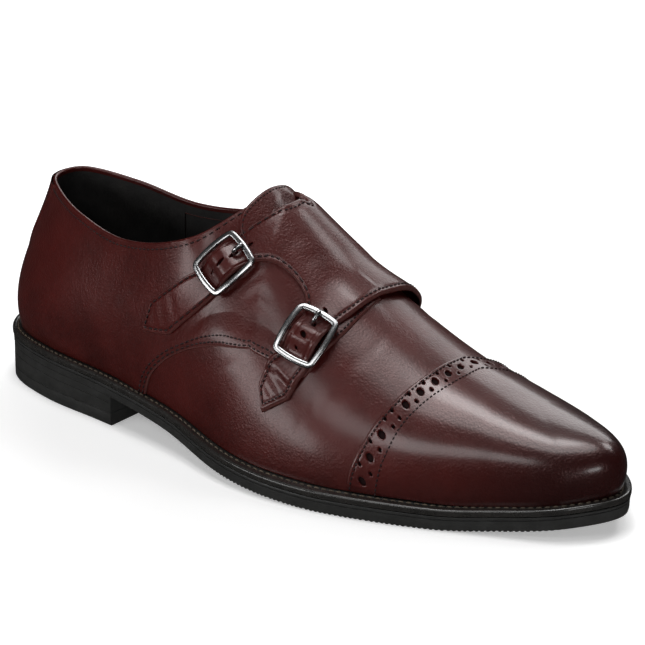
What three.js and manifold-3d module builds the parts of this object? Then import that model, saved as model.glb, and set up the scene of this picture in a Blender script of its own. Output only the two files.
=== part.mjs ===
// A double monk strap shoe for the right foot, on a welted rubber sole with a low stacked heel.
// Millimetres. x runs from the heel to the toe, y to the wearer's left (the inner side), z up.
// The last is one function, skin(section, girth, height). Every leather piece is cut from it.
import * as THREE from "three";
import { mergeVertices } from "three/addons/utils/BufferGeometryUtils.js";
import { TessellateModifier } from "three/addons/modifiers/TessellateModifier.js";
import Module from "manifold-3d";

const wasm = await Module();
wasm.setup();

// Driving dimensions, in mm
const GAP = 0.3; // between pieces that touch
const WALL = 2.0; // upper leather with its lining
const WELT_THICK = 2.7;
const WELT_WIDTH = 12;
const HEEL_LENGTH = 81;
const TOP_LIFT_THICK = 5.3;
const INSOLE_THICK = 3;
const CAP_THICK = 1.2;
const FLAP_THICK = 1.6;
const FLAP_GAP = 0.45;
const TONGUE_THICK = 1.6;
const TONGUE_STANDS = 9.5; // how far the tongue rises past the front of the collar
const SECTION_PITCH = 30; // mean distance between two sections on the skin

// Sections of the last from the toe tip to the back of the heel. x and y are on the edge of the
// sole. The wall leaves the feather edge with a sideways bulge over a rise, and meets the top
// point with a handle of length crown, which leans down from level by lean degrees.
const OUTER = [
  // x, y, bulge, rise, crown, lean, topX, topY, topZ
  [302, 3.5, 7.5, 22, 19, 0, 266, 6, 40],
  [288, -17.5, 4, 20, 20, 0, 257, 6, 42],
  [260, -31.5, 2, 20, 22, 0, 243, 6, 46],
  [225, -46, 1, 20, 24, 0, 217, 6, 54.5],
  [190, -55, 0, 22, 26, 0, 184, 6, 72],
  [155, -55, -3, 28, 22, 0, 142, 4, 102.5],
  [115, -43.5, 1, 30, 26, 72, 114, -25.5, 86],
  [75, -37, 5, 26, 20, 82, 80, -25, 77.3],
  [40, -32, 7, 24, 18, 80, 50, -18.5, 80.5],
  [12, -20.5, 7, 24, 20, 78, 27, -7, 84.5],
  [0, 1, 7, 24, 20, 76, 15, 5.5, 86.5],
];
const INNER = [
  // x, y, bulge, rise, crown, lean, topX, topY, topZ
  [302, 3.5, 7.5, 22, 19, 0, 266, 6, 40],
  [285, 30, 4, 20, 14, 0, 257, 6, 42],
  [260, 44, 3, 22, 14, 0, 243, 6, 46],
  [225, 53, 2, 24, 18, 0, 217, 6, 54.5],
  [190, 49.5, 3, 28, 24, 0, 184, 6, 72],
  [155, 40, 6, 34, 24, 0, 142, 4, 102.5],
  [115, 33.5, 8, 32, 24, 75, 110, 27, 84],
  [75, 35, 6, 28, 20, 84, 76, 28.5, 79.5],
  [40, 33, 7, 24, 18, 84, 45, 26.5, 84],
  [12, 22, 7, 24, 20, 80, 21, 19, 87.5],
  [0, 1, 7, 24, 20, 76, 15, 5.5, 86.5],
];
const HEEL_SECTION = OUTER.length - 1;
const COLLAR_SECTION = 5; // the ridge ends here and the collar begins
const LOOP = [...OUTER, ...INNER.slice(1, -1).reverse()];

// Heights along the shoe: x, then the value
const SOLE_BOTTOM = [
  [0, 15.2], [40, 14.8], [75, 13.4], [110, 9.6], [145, 4], [175, 0.9],
  [200, 0], [240, 0], [268, 2.6], [302, 8],
];
const EDGE_THICK = [[0, 7.2], [75, 7.4], [130, 8.2], [200, 8.8], [302, 8.8]];
const LEDGE = [[0, 4], [60, 4], [120, 4.5], [200, 5.5], [260, 5.5], [302, 5]];

// A smooth curve through a table that never overshoots it.
function profile(table, x) {
  const last = table.length - 1;
  if (x <= table[0][0]) return table[0][1];
  if (x >= table[last][0]) return table[last][1];
  const slope = (i) => (table[i + 1][1] - table[i][1]) / (table[i + 1][0] - table[i][0]);
  const tangent = (i) => {
    if (i === 0 || i === last) return slope(Math.min(i, last - 1));
    const before = slope(i - 1);
    const after = slope(i);
    return before * after <= 0 ? 0 : (2 * before * after) / (before + after);
  };
  const i = table.findIndex((row) => row[0] > x) - 1;
  const step = table[i + 1][0] - table[i][0];
  const f = (x - table[i][0]) / step;
  const g = 1 - f;
  return (
    g * g * (1 + 2 * f) * table[i][1] + f * f * (1 + 2 * g) * table[i + 1][1] +
    f * g * g * step * tangent(i) - f * f * g * step * tangent(i + 1)
  );
}
const soleBottom = (x) => profile(SOLE_BOTTOM, x);
const weltTop = (x) => soleBottom(x) + profile(EDGE_THICK, x);

// Catmull-Rom through four rows, column by column.
function blend(p0, p1, p2, p3, f) {
  return p1.map((_, c) =>
    0.5 * (2 * p1[c] + (p2[c] - p0[c]) * f +
      (2 * p0[c] - 5 * p1[c] + 4 * p2[c] - p3[c]) * f * f +
      (3 * p1[c] - p0[c] - 3 * p2[c] + p3[c]) * f * f * f));
}
function loopRow(u) {
  const n = LOOP.length;
  const i = Math.floor(u);
  const row = (j) => LOOP[(((i + j) % n) + n) % n];
  return blend(row(-1), row(0), row(1), row(2), u - i);
}
const ridgeRows = OUTER.slice(0, COLLAR_SECTION + 1).map((row) => row.slice(6));
const beyond = ridgeRows[COLLAR_SECTION].map((v, c) => 2 * v - ridgeRows[COLLAR_SECTION - 1][c]);
const RIDGE = [ridgeRows[1], ...ridgeRows, beyond];
function ridge(section) {
  const s = Math.min(Math.max(section, 0), COLLAR_SECTION);
  const i = Math.min(Math.floor(s), COLLAR_SECTION - 1);
  return new THREE.Vector3(...blend(RIDGE[i], RIDGE[i + 1], RIDGE[i + 2], RIDGE[i + 3], s - i));
}
function ridgeSlope(section) {
  const s = Math.min(Math.max(section, 0.3), COLLAR_SECTION);
  const a = ridge(s - 0.05);
  const b = ridge(s + 0.05);
  return (b.z - a.z) / (b.x - a.x);
}
// u goes round the shoe: toe 0, outer side, heel 10, inner side. The section counts from the toe.
function sectionOf(u) {
  const n = LOOP.length;
  const v = ((u % n) + n) % n;
  return v <= HEEL_SECTION ? v : n - v;
}
const loopAt = (section, side) => (side < 0 ? section : LOOP.length - section);

// The sole's edge, moved in by inset, and its outward normal.
function edge(u, inset = 0) {
  const [x, y] = loopRow(u);
  const [ax, ay] = loopRow(u - 0.001);
  const [bx, by] = loopRow(u + 0.001);
  const out = new THREE.Vector3(ay - by, bx - ax, 0).normalize();
  return { point: new THREE.Vector3(x, y, 0).addScaledVector(out, -inset), out };
}
const ledgeAt = (u) => profile(LEDGE, loopRow(u)[0]);

const UP = new THREE.Vector3(0, 0, 1);
// The outside of the upper at loop position u, from the feather edge (t = 0) to the top (t = 1).
function wall(u, t) {
  const [, , bulge, rise, crown, lean, topX, topY, topZ] = loopRow(u);
  const section = sectionOf(u);
  const onRidge = section <= COLLAR_SECTION;
  const top = onRidge ? ridge(section) : new THREE.Vector3(topX, topY, topZ);
  const { point: foot, out } = edge(u, ledgeAt(u));
  foot.z = weltTop(foot.x) + GAP;
  const low = foot.clone().addScaledVector(out, bulge).addScaledVector(UP, rise);
  const level = new THREE.Vector3(foot.x - top.x, foot.y - top.y, 0).normalize();
  const past = THREE.MathUtils.smoothstep(section, COLLAR_SECTION, COLLAR_SECTION + 1);
  level.z = ridgeSlope(section) * level.x * (1 - past);
  const angle = onRidge ? 0 : THREE.MathUtils.degToRad(Math.max(lean, 0));
  const high = top.clone().addScaledVector(level, crown * Math.cos(angle));
  high.addScaledVector(UP, -crown * Math.sin(angle));
  return new THREE.CubicBezierCurve3(foot, low, high, top).getPoint(t);
}
// The outward normal. Both sides share one normal along the ridge.
function oneNormal(u, t) {
  const s = Math.min(Math.max(t, 0.002), 0.998);
  const along = wall(u + 0.005, s).sub(wall(u - 0.005, s));
  const rising = wall(u, s + 0.001).sub(wall(u, s - 0.001));
  return rising.cross(along).normalize();
}
function normal(u, t) {
  const section = sectionOf(u);
  const n = oneNormal(u, t);
  if (t < 0.999 || section > COLLAR_SECTION) return n;
  return n.add(oneNormal(LOOP.length - u, t)).normalize();
}
const shell = (u, t, height) => wall(u, t).addScaledVector(normal(u, t), height);

// The skin by section, signed girth from the top (outer side negative) and height above the upper.
const GIRTH_STEPS = 40;
const girthTables = new Map();
function girthTable(u) {
  const key = u.toFixed(5);
  if (!girthTables.has(key)) {
    const table = [0];
    let before = wall(u, 1);
    for (let i = 1; i <= GIRTH_STEPS; i++) {
      const here = wall(u, 1 - i / GIRTH_STEPS);
      table.push(table[i - 1] + here.distanceTo(before));
      before = here;
    }
    girthTables.set(key, table);
  }
  return girthTables.get(key);
}
function skin(section, girth, height) {
  const u = loopAt(section, girth);
  const table = girthTable(u);
  const g = Math.min(Math.abs(girth), table[GIRTH_STEPS]);
  const i = Math.max(table.findIndex((v) => v >= g), 1);
  const t = 1 - (i - 1 + (g - table[i - 1]) / (table[i] - table[i - 1])) / GIRTH_STEPS;
  return shell(u, Math.min(Math.max(t, 0), 1), height);
}

// Solids ---------------------------------------------------------------------------------------
function geometryOf(points, triangles) {
  const flat = points.flatMap((p) => [p.x, p.y, p.z]);
  const g = new THREE.BufferGeometry();
  g.setAttribute("position", new THREE.Float32BufferAttribute(flat, 3));
  g.setIndex(triangles);
  return mergeVertices(g, 1e-3);
}
function withoutSlivers(geometry) {
  const index = geometry.index.array;
  const kept = [];
  for (let i = 0; i < index.length; i += 3) {
    const [a, b, c] = [index[i], index[i + 1], index[i + 2]];
    if (a !== b && b !== c && a !== c) kept.push(a, b, c);
  }
  geometry.setIndex(kept);
  return geometry;
}
function turned(geometry) {
  const index = geometry.index.array;
  for (let i = 0; i < index.length; i += 3) {
    [index[i + 1], index[i + 2]] = [index[i + 2], index[i + 1]];
  }
  return geometry;
}
// Joins two equal grids of points, the inside and the outside of a sheet, into one closed body.
function slab(inside, outside) {
  const rows = inside.length;
  const columns = inside[0].length;
  const points = [...inside.flat(), ...outside.flat()];
  const at = (layer, r, c) => layer * rows * columns + r * columns + c;
  const triangles = [];
  const quad = (a, b, c, d) => triangles.push(a, b, c, a, c, d);
  for (let r = 0; r < rows - 1; r++) {
    for (let c = 0; c < columns - 1; c++) {
      quad(at(1, r, c), at(1, r, c + 1), at(1, r + 1, c + 1), at(1, r + 1, c));
      quad(at(0, r, c), at(0, r + 1, c), at(0, r + 1, c + 1), at(0, r, c + 1));
    }
  }
  for (let c = 0; c < columns - 1; c++) {
    quad(at(0, 0, c), at(0, 0, c + 1), at(1, 0, c + 1), at(1, 0, c));
    quad(at(1, rows - 1, c), at(1, rows - 1, c + 1), at(0, rows - 1, c + 1), at(0, rows - 1, c));
  }
  for (let r = 0; r < rows - 1; r++) {
    quad(at(1, r, 0), at(1, r + 1, 0), at(0, r + 1, 0), at(0, r, 0));
    quad(at(0, r, columns - 1), at(0, r + 1, columns - 1), at(1, r + 1, columns - 1),
      at(1, r, columns - 1));
  }
  return withoutSlivers(geometryOf(points, triangles));
}
function toSolid(geometry) {
  const bare = new THREE.BufferGeometry();
  bare.setAttribute("position", geometry.getAttribute("position").clone());
  if (geometry.index) bare.setIndex(geometry.index.clone());
  const merged = mergeVertices(bare, 1e-3);
  return new wasm.Manifold(new wasm.Mesh({
    numProp: 3,
    vertProperties: new Float32Array(merged.getAttribute("position").array),
    triVerts: new Uint32Array(merged.index.array),
  }));
}
function toGeometry(solid) {
  const mesh = solid.getMesh();
  const g = new THREE.BufferGeometry();
  g.setAttribute("position", new THREE.Float32BufferAttribute(mesh.vertProperties, 3));
  g.setIndex([...mesh.triVerts]);
  return g;
}
const span = (from, to, steps) =>
  Array.from({ length: steps + 1 }, (_, i) => from + ((to - from) * i) / steps);

// A flat layer of the sole: stacked rings round the sole's edge, closed across its ends.
// Each ring is { inset(u), z(x) }. first and last are the sections where it starts and stops.
function layer(rings, steps, first = () => 0) {
  // Steps are closer together where the edge turns, at the toe and at the back of the heel.
  const sides = [-1, 1].map((side) => {
    const from = first(side);
    const turn = from > 0 ? Math.PI / 2 : 0;
    return span(turn, Math.PI, steps).map((angle) => {
      const share = (Math.cos(turn) - Math.cos(angle)) / (Math.cos(turn) + 1);
      const even = (angle - turn) / (Math.PI - turn);
      return loopAt(from + (HEEL_SECTION - from) * (0.6 * share + 0.4 * even), side);
    });
  });
  const points = [];
  for (const ring of rings) {
    for (const side of sides) {
      for (const u of side) {
        const { point } = edge(u, ring.inset(u));
        point.z = ring.z(point.x);
        points.push(point);
      }
    }
  }
  const n = steps + 1;
  const at = (ring, side, i) => (ring * 2 + side) * n + i;
  const triangles = [];
  const quad = (a, b, c, d) => triangles.push(a, b, c, a, c, d);
  const top = rings.length - 1;
  for (let i = 0; i < steps; i++) {
    quad(at(0, 0, i), at(0, 0, i + 1), at(0, 1, i + 1), at(0, 1, i));
    quad(at(top, 0, i), at(top, 1, i), at(top, 1, i + 1), at(top, 0, i + 1));
    for (let r = 0; r < top; r++) {
      quad(at(r, 0, i + 1), at(r, 0, i), at(r + 1, 0, i), at(r + 1, 0, i + 1));
      quad(at(r, 1, i), at(r, 1, i + 1), at(r + 1, 1, i + 1), at(r + 1, 1, i));
    }
  }
  for (let r = 0; r < top; r++) {
    quad(at(r, 0, 0), at(r, 1, 0), at(r + 1, 1, 0), at(r + 1, 0, 0));
  }
  return withoutSlivers(geometryOf(points, triangles));
}
const fixed = (value) => () => value;

// Sole ------------------------------------------------------------------------------------------
const SOLE_STEPS = 34;
const outsoleTop = (x) => weltTop(x) - WELT_THICK - GAP;
function outsole() {
  return layer([
    { inset: fixed(1.6), z: soleBottom },
    { inset: fixed(0.5), z: (x) => soleBottom(x) + 1.2 },
    { inset: fixed(0.3), z: outsoleTop },
  ], SOLE_STEPS);
}
// The welt is a flat strip round the edge, with the insole's filling inside it.
function welt() {
  const low = (x) => weltTop(x) - WELT_THICK;
  const whole = layer([
    { inset: fixed(0.4), z: low },
    { inset: fixed(0), z: (x) => low(x) + 0.5 },
    { inset: fixed(0), z: (x) => weltTop(x) - 0.6 },
    { inset: fixed(0.7), z: weltTop },
  ], SOLE_STEPS);
  const hole = layer([
    { inset: fixed(WELT_WIDTH), z: (x) => low(x) - 1 },
    { inset: fixed(WELT_WIDTH), z: (x) => weltTop(x) + 1 },
  ], SOLE_STEPS);
  return toGeometry(toSolid(whole).subtract(toSolid(hole)));
}
// The section where the sole's edge passes the front of the heel, on one side.
function breastSection(side, inset) {
  let low = 5;
  let high = HEEL_SECTION;
  for (let i = 0; i < 40; i++) {
    const middle = (low + high) / 2;
    if (edge(loopAt(middle, side), inset).point.x > HEEL_LENGTH) low = middle;
    else high = middle;
  }
  return low;
}
const HEEL_STEPS = 20;
const heelLayer = (rings, inset) => layer(rings, HEEL_STEPS, (side) => breastSection(side, inset));
function heelBlock() {
  return heelLayer([
    { inset: fixed(0.8), z: fixed(TOP_LIFT_THICK + GAP) },
    { inset: fixed(0.8), z: (x) => soleBottom(x) - GAP },
  ], 0.8);
}
// A small moulded notch sits in the lower edge of the top lift, at the outer rear.
const NOTCH = { x: 17, y: -24, size: 3.4, high: 1.5 };
function heelTopLift() {
  const lift = heelLayer([
    { inset: fixed(1.4), z: fixed(0) },
    { inset: fixed(0.8), z: fixed(0.6) },
    { inset: fixed(0.8), z: fixed(TOP_LIFT_THICK) },
  ], 0.8);
  const notch = new THREE.BoxGeometry(NOTCH.size, NOTCH.size * 2, NOTCH.high * 2);
  notch.rotateZ(THREE.MathUtils.degToRad(30));
  notch.translate(NOTCH.x, NOTCH.y - 4, 0);
  return toGeometry(toSolid(lift).subtract(toSolid(notch)));
}
// The insole lies on the welt inside the upper, and its filling reaches down to the outsole.
function insole() {
  const outer = (u) => ledgeAt(u) + WALL + 1.6;
  const filling = fixed(WELT_WIDTH + GAP);
  return layer([
    { inset: filling, z: (x) => outsoleTop(x) + GAP },
    { inset: filling, z: (x) => weltTop(x) + GAP },
    { inset: outer, z: (x) => weltTop(x) + GAP },
    { inset: outer, z: (x) => weltTop(x) + GAP + INSOLE_THICK },
  ], SOLE_STEPS);
}

// Upper -----------------------------------------------------------------------------------------
const UPPER_AROUND = 68;
const UPPER_RISE = 10;
// The throat is cut away in front of the collar, under the flap.
const THROAT = { front: 176, halfWidth: 11, middle: 5 };
function throatCutter() {
  const shape = new THREE.Shape();
  const { front, halfWidth, middle } = THROAT;
  shape.moveTo(120, middle - halfWidth);
  shape.lineTo(front - halfWidth, middle - halfWidth);
  shape.absarc(front - halfWidth, middle, halfWidth, -Math.PI / 2, Math.PI / 2, false);
  shape.lineTo(120, middle + halfWidth);
  const g = new THREE.ExtrudeGeometry(shape, { depth: 80, bevelEnabled: false, curveSegments: 8 });
  g.translate(0, 0, 62);
  return toSolid(g);
}
function upper() {
  const around = span(0, LOOP.length, UPPER_AROUND).slice(0, -1);
  const rise = span(0, 1, UPPER_RISE);
  const n = around.length;
  const points = [];
  for (const height of [-WALL, 0]) {
    for (const t of rise) {
      for (const u of around) points.push(shell(u, t, height));
    }
  }
  const at = (layerIndex, r, c) => (layerIndex * rise.length + r) * n + (c % n);
  const triangles = [];
  const quad = (a, b, c, d) => triangles.push(a, b, c, a, c, d);
  for (let c = 0; c < n; c++) {
    for (let r = 0; r < UPPER_RISE; r++) {
      quad(at(1, r, c + 1), at(1, r, c), at(1, r + 1, c), at(1, r + 1, c + 1));
      quad(at(0, r, c), at(0, r, c + 1), at(0, r + 1, c + 1), at(0, r + 1, c));
    }
    quad(at(0, 0, c + 1), at(0, 0, c), at(1, 0, c), at(1, 0, c + 1));
    const middle = sectionOf(((c + 0.5) * LOOP.length) / n);
    if (middle > COLLAR_SECTION) {
      const r = UPPER_RISE;
      quad(at(0, r, c), at(0, r, c + 1), at(1, r, c + 1), at(1, r, c));
    }
  }
  const whole = toSolid(withoutSlivers(geometryOf(points, triangles)));
  return toGeometry(whole.subtract(throatCutter()));
}

// The toe cap's rear edge: t up the wall, then the section it reaches, on each side.
const CAP_OUTER = [[0, 3.46], [0.35, 3.38], [0.7, 3.12], [1, 2.78]];
const CAP_INNER = [[0, 3.2], [0.35, 3.1], [0.7, 2.92], [1, 2.78]];
const CAP_AROUND = 13;
const CAP_RISE = 10;
const CAP_FOOT = 0.025; // keeps the cap's lower edge clear of the welt
function toeCap() {
  const rise = span(CAP_FOOT, 1, CAP_RISE);
  const grid = (height) => rise.map((t) => {
    const outer = span(profile(CAP_OUTER, t), 0, CAP_AROUND).map((s) => shell(s, t, height));
    const inner = span(0, profile(CAP_INNER, t), CAP_AROUND).slice(1)
      .map((s) => shell(LOOP.length - s, t, height));
    return [...outer, ...inner];
  });
  const inside = grid(GAP);
  const outside = grid(GAP + CAP_THICK);
  // Both sides meet on the ridge, so the top row of the slab folds shut along it.
  return foldedCap(inside, outside);
}
function foldedCap(inside, outside) {
  const rows = inside.length;
  const columns = inside[0].length;
  const points = [...inside.flat(), ...outside.flat()];
  const at = (l, r, c) => (l * rows + r) * columns + c;
  const triangles = [];
  const quad = (a, b, c, d) => triangles.push(a, b, c, a, c, d);
  for (let r = 0; r < rows - 1; r++) {
    for (let c = 0; c < columns - 1; c++) {
      quad(at(1, r, c), at(1, r, c + 1), at(1, r + 1, c + 1), at(1, r + 1, c));
      quad(at(0, r, c), at(0, r + 1, c), at(0, r + 1, c + 1), at(0, r, c + 1));
    }
    const last = columns - 1;
    quad(at(1, r, 0), at(1, r + 1, 0), at(0, r + 1, 0), at(0, r, 0));
    quad(at(0, r, last), at(0, r + 1, last), at(1, r + 1, last), at(1, r, last));
  }
  for (let c = 0; c < columns - 1; c++) {
    quad(at(0, 0, c), at(0, 0, c + 1), at(1, 0, c + 1), at(1, 0, c));
  }
  return withoutSlivers(geometryOf(points, triangles));
}

// The tongue lies inside the throat and stands up past the collar.
const TONGUE = [
  // section, half width in girth, share of its standing height, how far below the upper
  [3.75, 20, 0, 0.2], [4.1, 24, 0, 0.2], [4.45, 25, 0, 0.2], [4.75, 25, 0, 0.3],
  [4.95, 22.5, 0, 1], [4.95, 17.5, 0.5, 1.2], [4.95, 13, 1, 1.2],
];
function tongue() {
  const rising = ridge(4.95).sub(ridge(4.8)).normalize();
  const grid = (height) => TONGUE.map(([section, half, stands, below]) =>
    span(-half, half, 14).map((girth) => {
      const past = stands * TONGUE_STANDS * (1 - Math.abs(girth) / (half * 3));
      return skin(section, girth, height - below).addScaledVector(rising, past);
    }));
  return slab(grid(-WALL - GAP - TONGUE_THICK), grid(-WALL - GAP));
}

// Straps and buckles ----------------------------------------------------------------------------
// A buckle's own axes: a runs up the strap towards the flap, b across it, c off the skin.
// middle and ahead are places on the skin: section and girth.
const BUCKLES = {
  rear: { middle: [5.47, -24.8], ahead: [5.27, -23.7] },
  front: { middle: [4.36, -42], ahead: [4.3, -30.8] },
};
const FRAME = { long: 22.6, wide: 19, wire: 2.2, corner: 3.6, high: 4.1 };
const STRAP_HALF = 6.0;
const HUMP = { high: 3.4, reach: 8.8 };
// The buckle's flat axes, and how far the skin falls away from them on either side.
function buckleSeat({ middle: [section, girth], ahead }) {
  const origin = skin(section, girth, 0);
  const perSection = skin(section + 0.05, girth, 0).sub(skin(section - 0.05, girth, 0));
  const perGirth = skin(section, girth + 1, 0).sub(skin(section, girth - 1, 0));
  const off = perGirth.clone().cross(perSection).normalize();
  const up = skin(...ahead, 0).sub(origin).projectOnPlane(off).normalize();
  const across = off.clone().cross(up);
  const flat = ([s, g]) => {
    const step = skin(s, g, 0).sub(origin);
    return [step.dot(up), step.dot(across), step.dot(off)];
  };
  // The place on the skin that lies over a and b.
  const onSkin = (a, b) => {
    let [s, g] = [section, girth];
    for (let i = 0; i < 6; i++) {
      const here = flat([s, g]);
      const ds = flat([s + 0.01, g]).map((v, c) => (v - here[c]) / 0.01);
      const dg = flat([s, g + 0.1]).map((v, c) => (v - here[c]) / 0.1);
      const det = ds[0] * dg[1] - ds[1] * dg[0];
      const [ea, eb] = [a - here[0], b - here[1]];
      s += (ea * dg[1] - eb * dg[0]) / det;
      g = Math.min(g + (eb * ds[0] - ea * ds[1]) / det, -0.5);
    }
    return [s, g];
  };
  const sag = (a, b) => flat(onSkin(a, b))[2];
  const fallA = (sag(10, 0) + sag(-10, 0)) / 200;
  const fallB = (sag(0, 7) + sag(0, -7)) / 98;
  const place = (a, b, c) => origin.clone().addScaledVector(up, a)
    .addScaledVector(across, b).addScaledVector(off, c + fallA * a * a + fallB * b * b);
  return { origin, up, onSkin, place };
}
const seats = Object.fromEntries(
  Object.entries(BUCKLES).map(([name, place]) => [name, buckleSeat(place)]),
);
// How far a strap rises over a buckle's centre bar at a place on the skin.
function humpAt(section, girth) {
  let rise = 0;
  for (const { origin, up } of Object.values(seats)) {
    const step = skin(section, girth, 0).sub(origin);
    if (step.length() > 16) continue;
    const a = Math.abs(step.dot(up));
    rise += HUMP.high * (1 - THREE.MathUtils.smoothstep(a, 1.2, HUMP.reach));
  }
  return rise;
}
const rear = seats.rear.onSkin;
const front = seats.front.onSkin;
// The flap with its two straps: section and girth, round its edge. It grows out of the inner
// side, crosses the ridge, and ends in two pointed straps with a round cut-out between them.
const FLAP_EDGE = [
  [5.4, 74], [5.05, 77], [4.7, 73], [4.4, 63], [4.17, 48], [4.0, 30], [3.93, 14], [3.89, 0],
  [3.95, -10], [4.02, -19.5],
  [4.11, -28], front(8, -STRAP_HALF), front(-9, -STRAP_HALF), [4.3, -59], [4.36, -67], [4.67, -82],
  [4.78, -74.5], [4.74, -67], [4.69, -60.5], front(-8, STRAP_HALF), front(7, STRAP_HALF),
  [4.52, -29.8], [4.67, -27.8], [4.84, -28.7], [5.0, -32.2], rear(8, -STRAP_HALF),
  rear(-8, -STRAP_HALF), [5.76, -34.3], [5.91, -35.2],
  [6.07, -38.2], [6.45, -35.4], [6.39, -23.6], [6.13, -18.3], [5.9, -15.6],
  rear(-8, STRAP_HALF), rear(7, STRAP_HALF),
  [5.27, -14.6], [5.1, -11.5], [4.98, -6], [4.94, 0], [4.95, 5], [5.2, 6], [5.6, 10], [5.75, 22],
  [5.8, 40], [5.75, 56], [5.62, 68],
];
const HOLES = [rear(3.6, 0), front(3.6, 0)];
function flap() {
  const place = ([section, girth]) => new THREE.Vector2(section * SECTION_PITCH, girth);
  const shape = new THREE.Shape(FLAP_EDGE.map(place));
  for (const hole of HOLES) {
    const at = place(hole);
    const path = new THREE.Path();
    path.absarc(at.x, at.y, 2, 0, Math.PI * 2, true);
    shape.holes.push(path);
  }
  const sheet = new THREE.ExtrudeGeometry(shape, {
    depth: 1, bevelEnabled: false, curveSegments: 8,
  });
  for (const extra of ["normal", "uv"]) sheet.deleteAttribute(extra);
  const fine = new TessellateModifier(6.4, 12).modify(sheet);
  const position = fine.getAttribute("position");
  for (let i = 0; i < position.count; i++) {
    const section = position.getX(i) / SECTION_PITCH;
    const girth = position.getY(i);
    const height = FLAP_GAP + position.getZ(i) * FLAP_THICK + humpAt(section, girth);
    const p = skin(section, girth, height);
    position.setXYZ(i, p.x, p.y, p.z);
  }
  return turned(withoutSlivers(mergeVertices(fine, 1e-3)));
}
// A round rod along points given in a buckle's own axes.
const ROD_SIDES = 8;
function rod(seat, path, radius, closed) {
  const n = path.length;
  const step = (i) => {
    const before = closed ? path[(i + n - 1) % n] : path[Math.max(i - 1, 0)];
    const after = closed ? path[(i + 1) % n] : path[Math.min(i + 1, n - 1)];
    return after.clone().sub(before).normalize();
  };
  const points = [];
  path.forEach((middle, i) => {
    const along = step(i);
    const side = along.clone().cross(UP).normalize();
    const top = side.clone().cross(along);
    for (let k = 0; k < ROD_SIDES; k++) {
      const angle = (2 * Math.PI * (k + 0.5)) / ROD_SIDES;
      const p = middle.clone().addScaledVector(side, radius * Math.cos(angle))
        .addScaledVector(top, radius * Math.sin(angle));
      points.push(seat.place(p.x, p.y, p.z));
    }
  });
  const at = (i, k) => (i % n) * ROD_SIDES + (k % ROD_SIDES);
  const triangles = [];
  for (let i = 0; i < (closed ? n : n - 1); i++) {
    for (let k = 0; k < ROD_SIDES; k++) {
      triangles.push(at(i, k), at(i + 1, k), at(i + 1, k + 1));
      triangles.push(at(i, k), at(i + 1, k + 1), at(i, k + 1));
    }
  }
  for (let k = 1; k < ROD_SIDES - 1 && !closed; k++) {
    triangles.push(at(0, 0), at(0, k), at(0, k + 1));
    triangles.push(at(n - 1, 0), at(n - 1, k + 1), at(n - 1, k));
  }
  return withoutSlivers(geometryOf(points, triangles));
}
// The frame is a rounded rectangle over the strap, and its centre bar passes under the hump.
function buckleFrame(seat) {
  const { long, wide, wire, corner, high } = FRAME;
  const a = (long - wire) / 2;
  const b = (wide - wire) / 2;
  const ring = [];
  for (const [ca, cb, start] of [[1, 1, 0], [-1, 1, 90], [-1, -1, 180], [1, -1, 270]]) {
    for (const turn of [0, 22.5, 45, 67.5, 90]) {
      const angle = THREE.MathUtils.degToRad(start + turn);
      ring.push(new THREE.Vector3(
        ca * (a - corner) + corner * Math.cos(angle),
        cb * (b - corner) + corner * Math.sin(angle),
        high,
      ));
    }
  }
  const bar = [-1, -0.8, 0, 0.8, 1].map((share) =>
    new THREE.Vector3(0.13, share * b, Math.abs(share) < 1 ? 1.5 : high - 0.2));
  const frame = toSolid(rod(seat, ring, wire / 2, true));
  return toGeometry(frame.add(toSolid(rod(seat, bar, 0.75, false))).simplify(0.03));
}
function prong(seat) {
  const path = [[2.0, 1.7], [3.4, 3.2], [5.0, 5.8], [8, 6.6], [11.2, 6.6]];
  return rod(seat, path.map(([a, c]) => new THREE.Vector3(a, 0, c)), 1.0, false);
}

// The shoe ---------------------------------------------------------------------------------------
const leather = () => new THREE.MeshStandardMaterial({ color: 0x4a1c1c, roughness: 0.38 });
const lining = () => new THREE.MeshStandardMaterial({ color: 0x17110f, roughness: 0.7 });
const rubber = () => new THREE.MeshStandardMaterial({ color: 0x1d1d1d, roughness: 0.55 });
const metal = () => new THREE.MeshStandardMaterial({
  color: 0xc9cacc, roughness: 0.2, metalness: 1,
});
const shoe = new THREE.Group();
shoe.name = "monk_strap_shoe";
function add(name, geometry, material) {
  const mesh = new THREE.Mesh(geometry, material);
  mesh.name = name;
  shoe.add(mesh);
}
add("outsole", outsole(), rubber());
add("welt", welt(), rubber());
add("heel_block", heelBlock(), rubber());
add("heel_top_lift", heelTopLift(), rubber());
add("insole", insole(), lining());
add("upper", upper(), leather());
add("toe_cap", toeCap(), leather());
add("tongue", tongue(), leather());
add("strap_flap", flap(), leather());
for (const [name, seat] of Object.entries(seats)) {
  add("buckle_frame_" + name, buckleFrame(seat), metal());
  add("buckle_prong_" + name, prong(seat), metal());
}

// The origin is under the middle of the shoe, on the floor.
const bounds = new THREE.Box3().setFromObject(shoe);
const centre = bounds.getCenter(new THREE.Vector3());
shoe.position.set(-centre.x, -centre.y, -bounds.min.z);

export default shoe;
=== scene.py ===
"""A double monk strap shoe for the right foot, in oxblood calf on a black welted sole.

Shapes are worked out in the shoemaker's millimetres: x runs from the heel to the toe, y to the
inner side, and z up from the floor. skin(section, girth, height) is the surface of the lasted
upper, and every leather piece is a patch of it. solid() moves a piece into the frame, in metres.
"""

import math

import bmesh
import bpy
import numpy as np
from mathutils import Matrix, Vector
from mathutils.geometry import delaunay_2d_cdt


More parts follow.
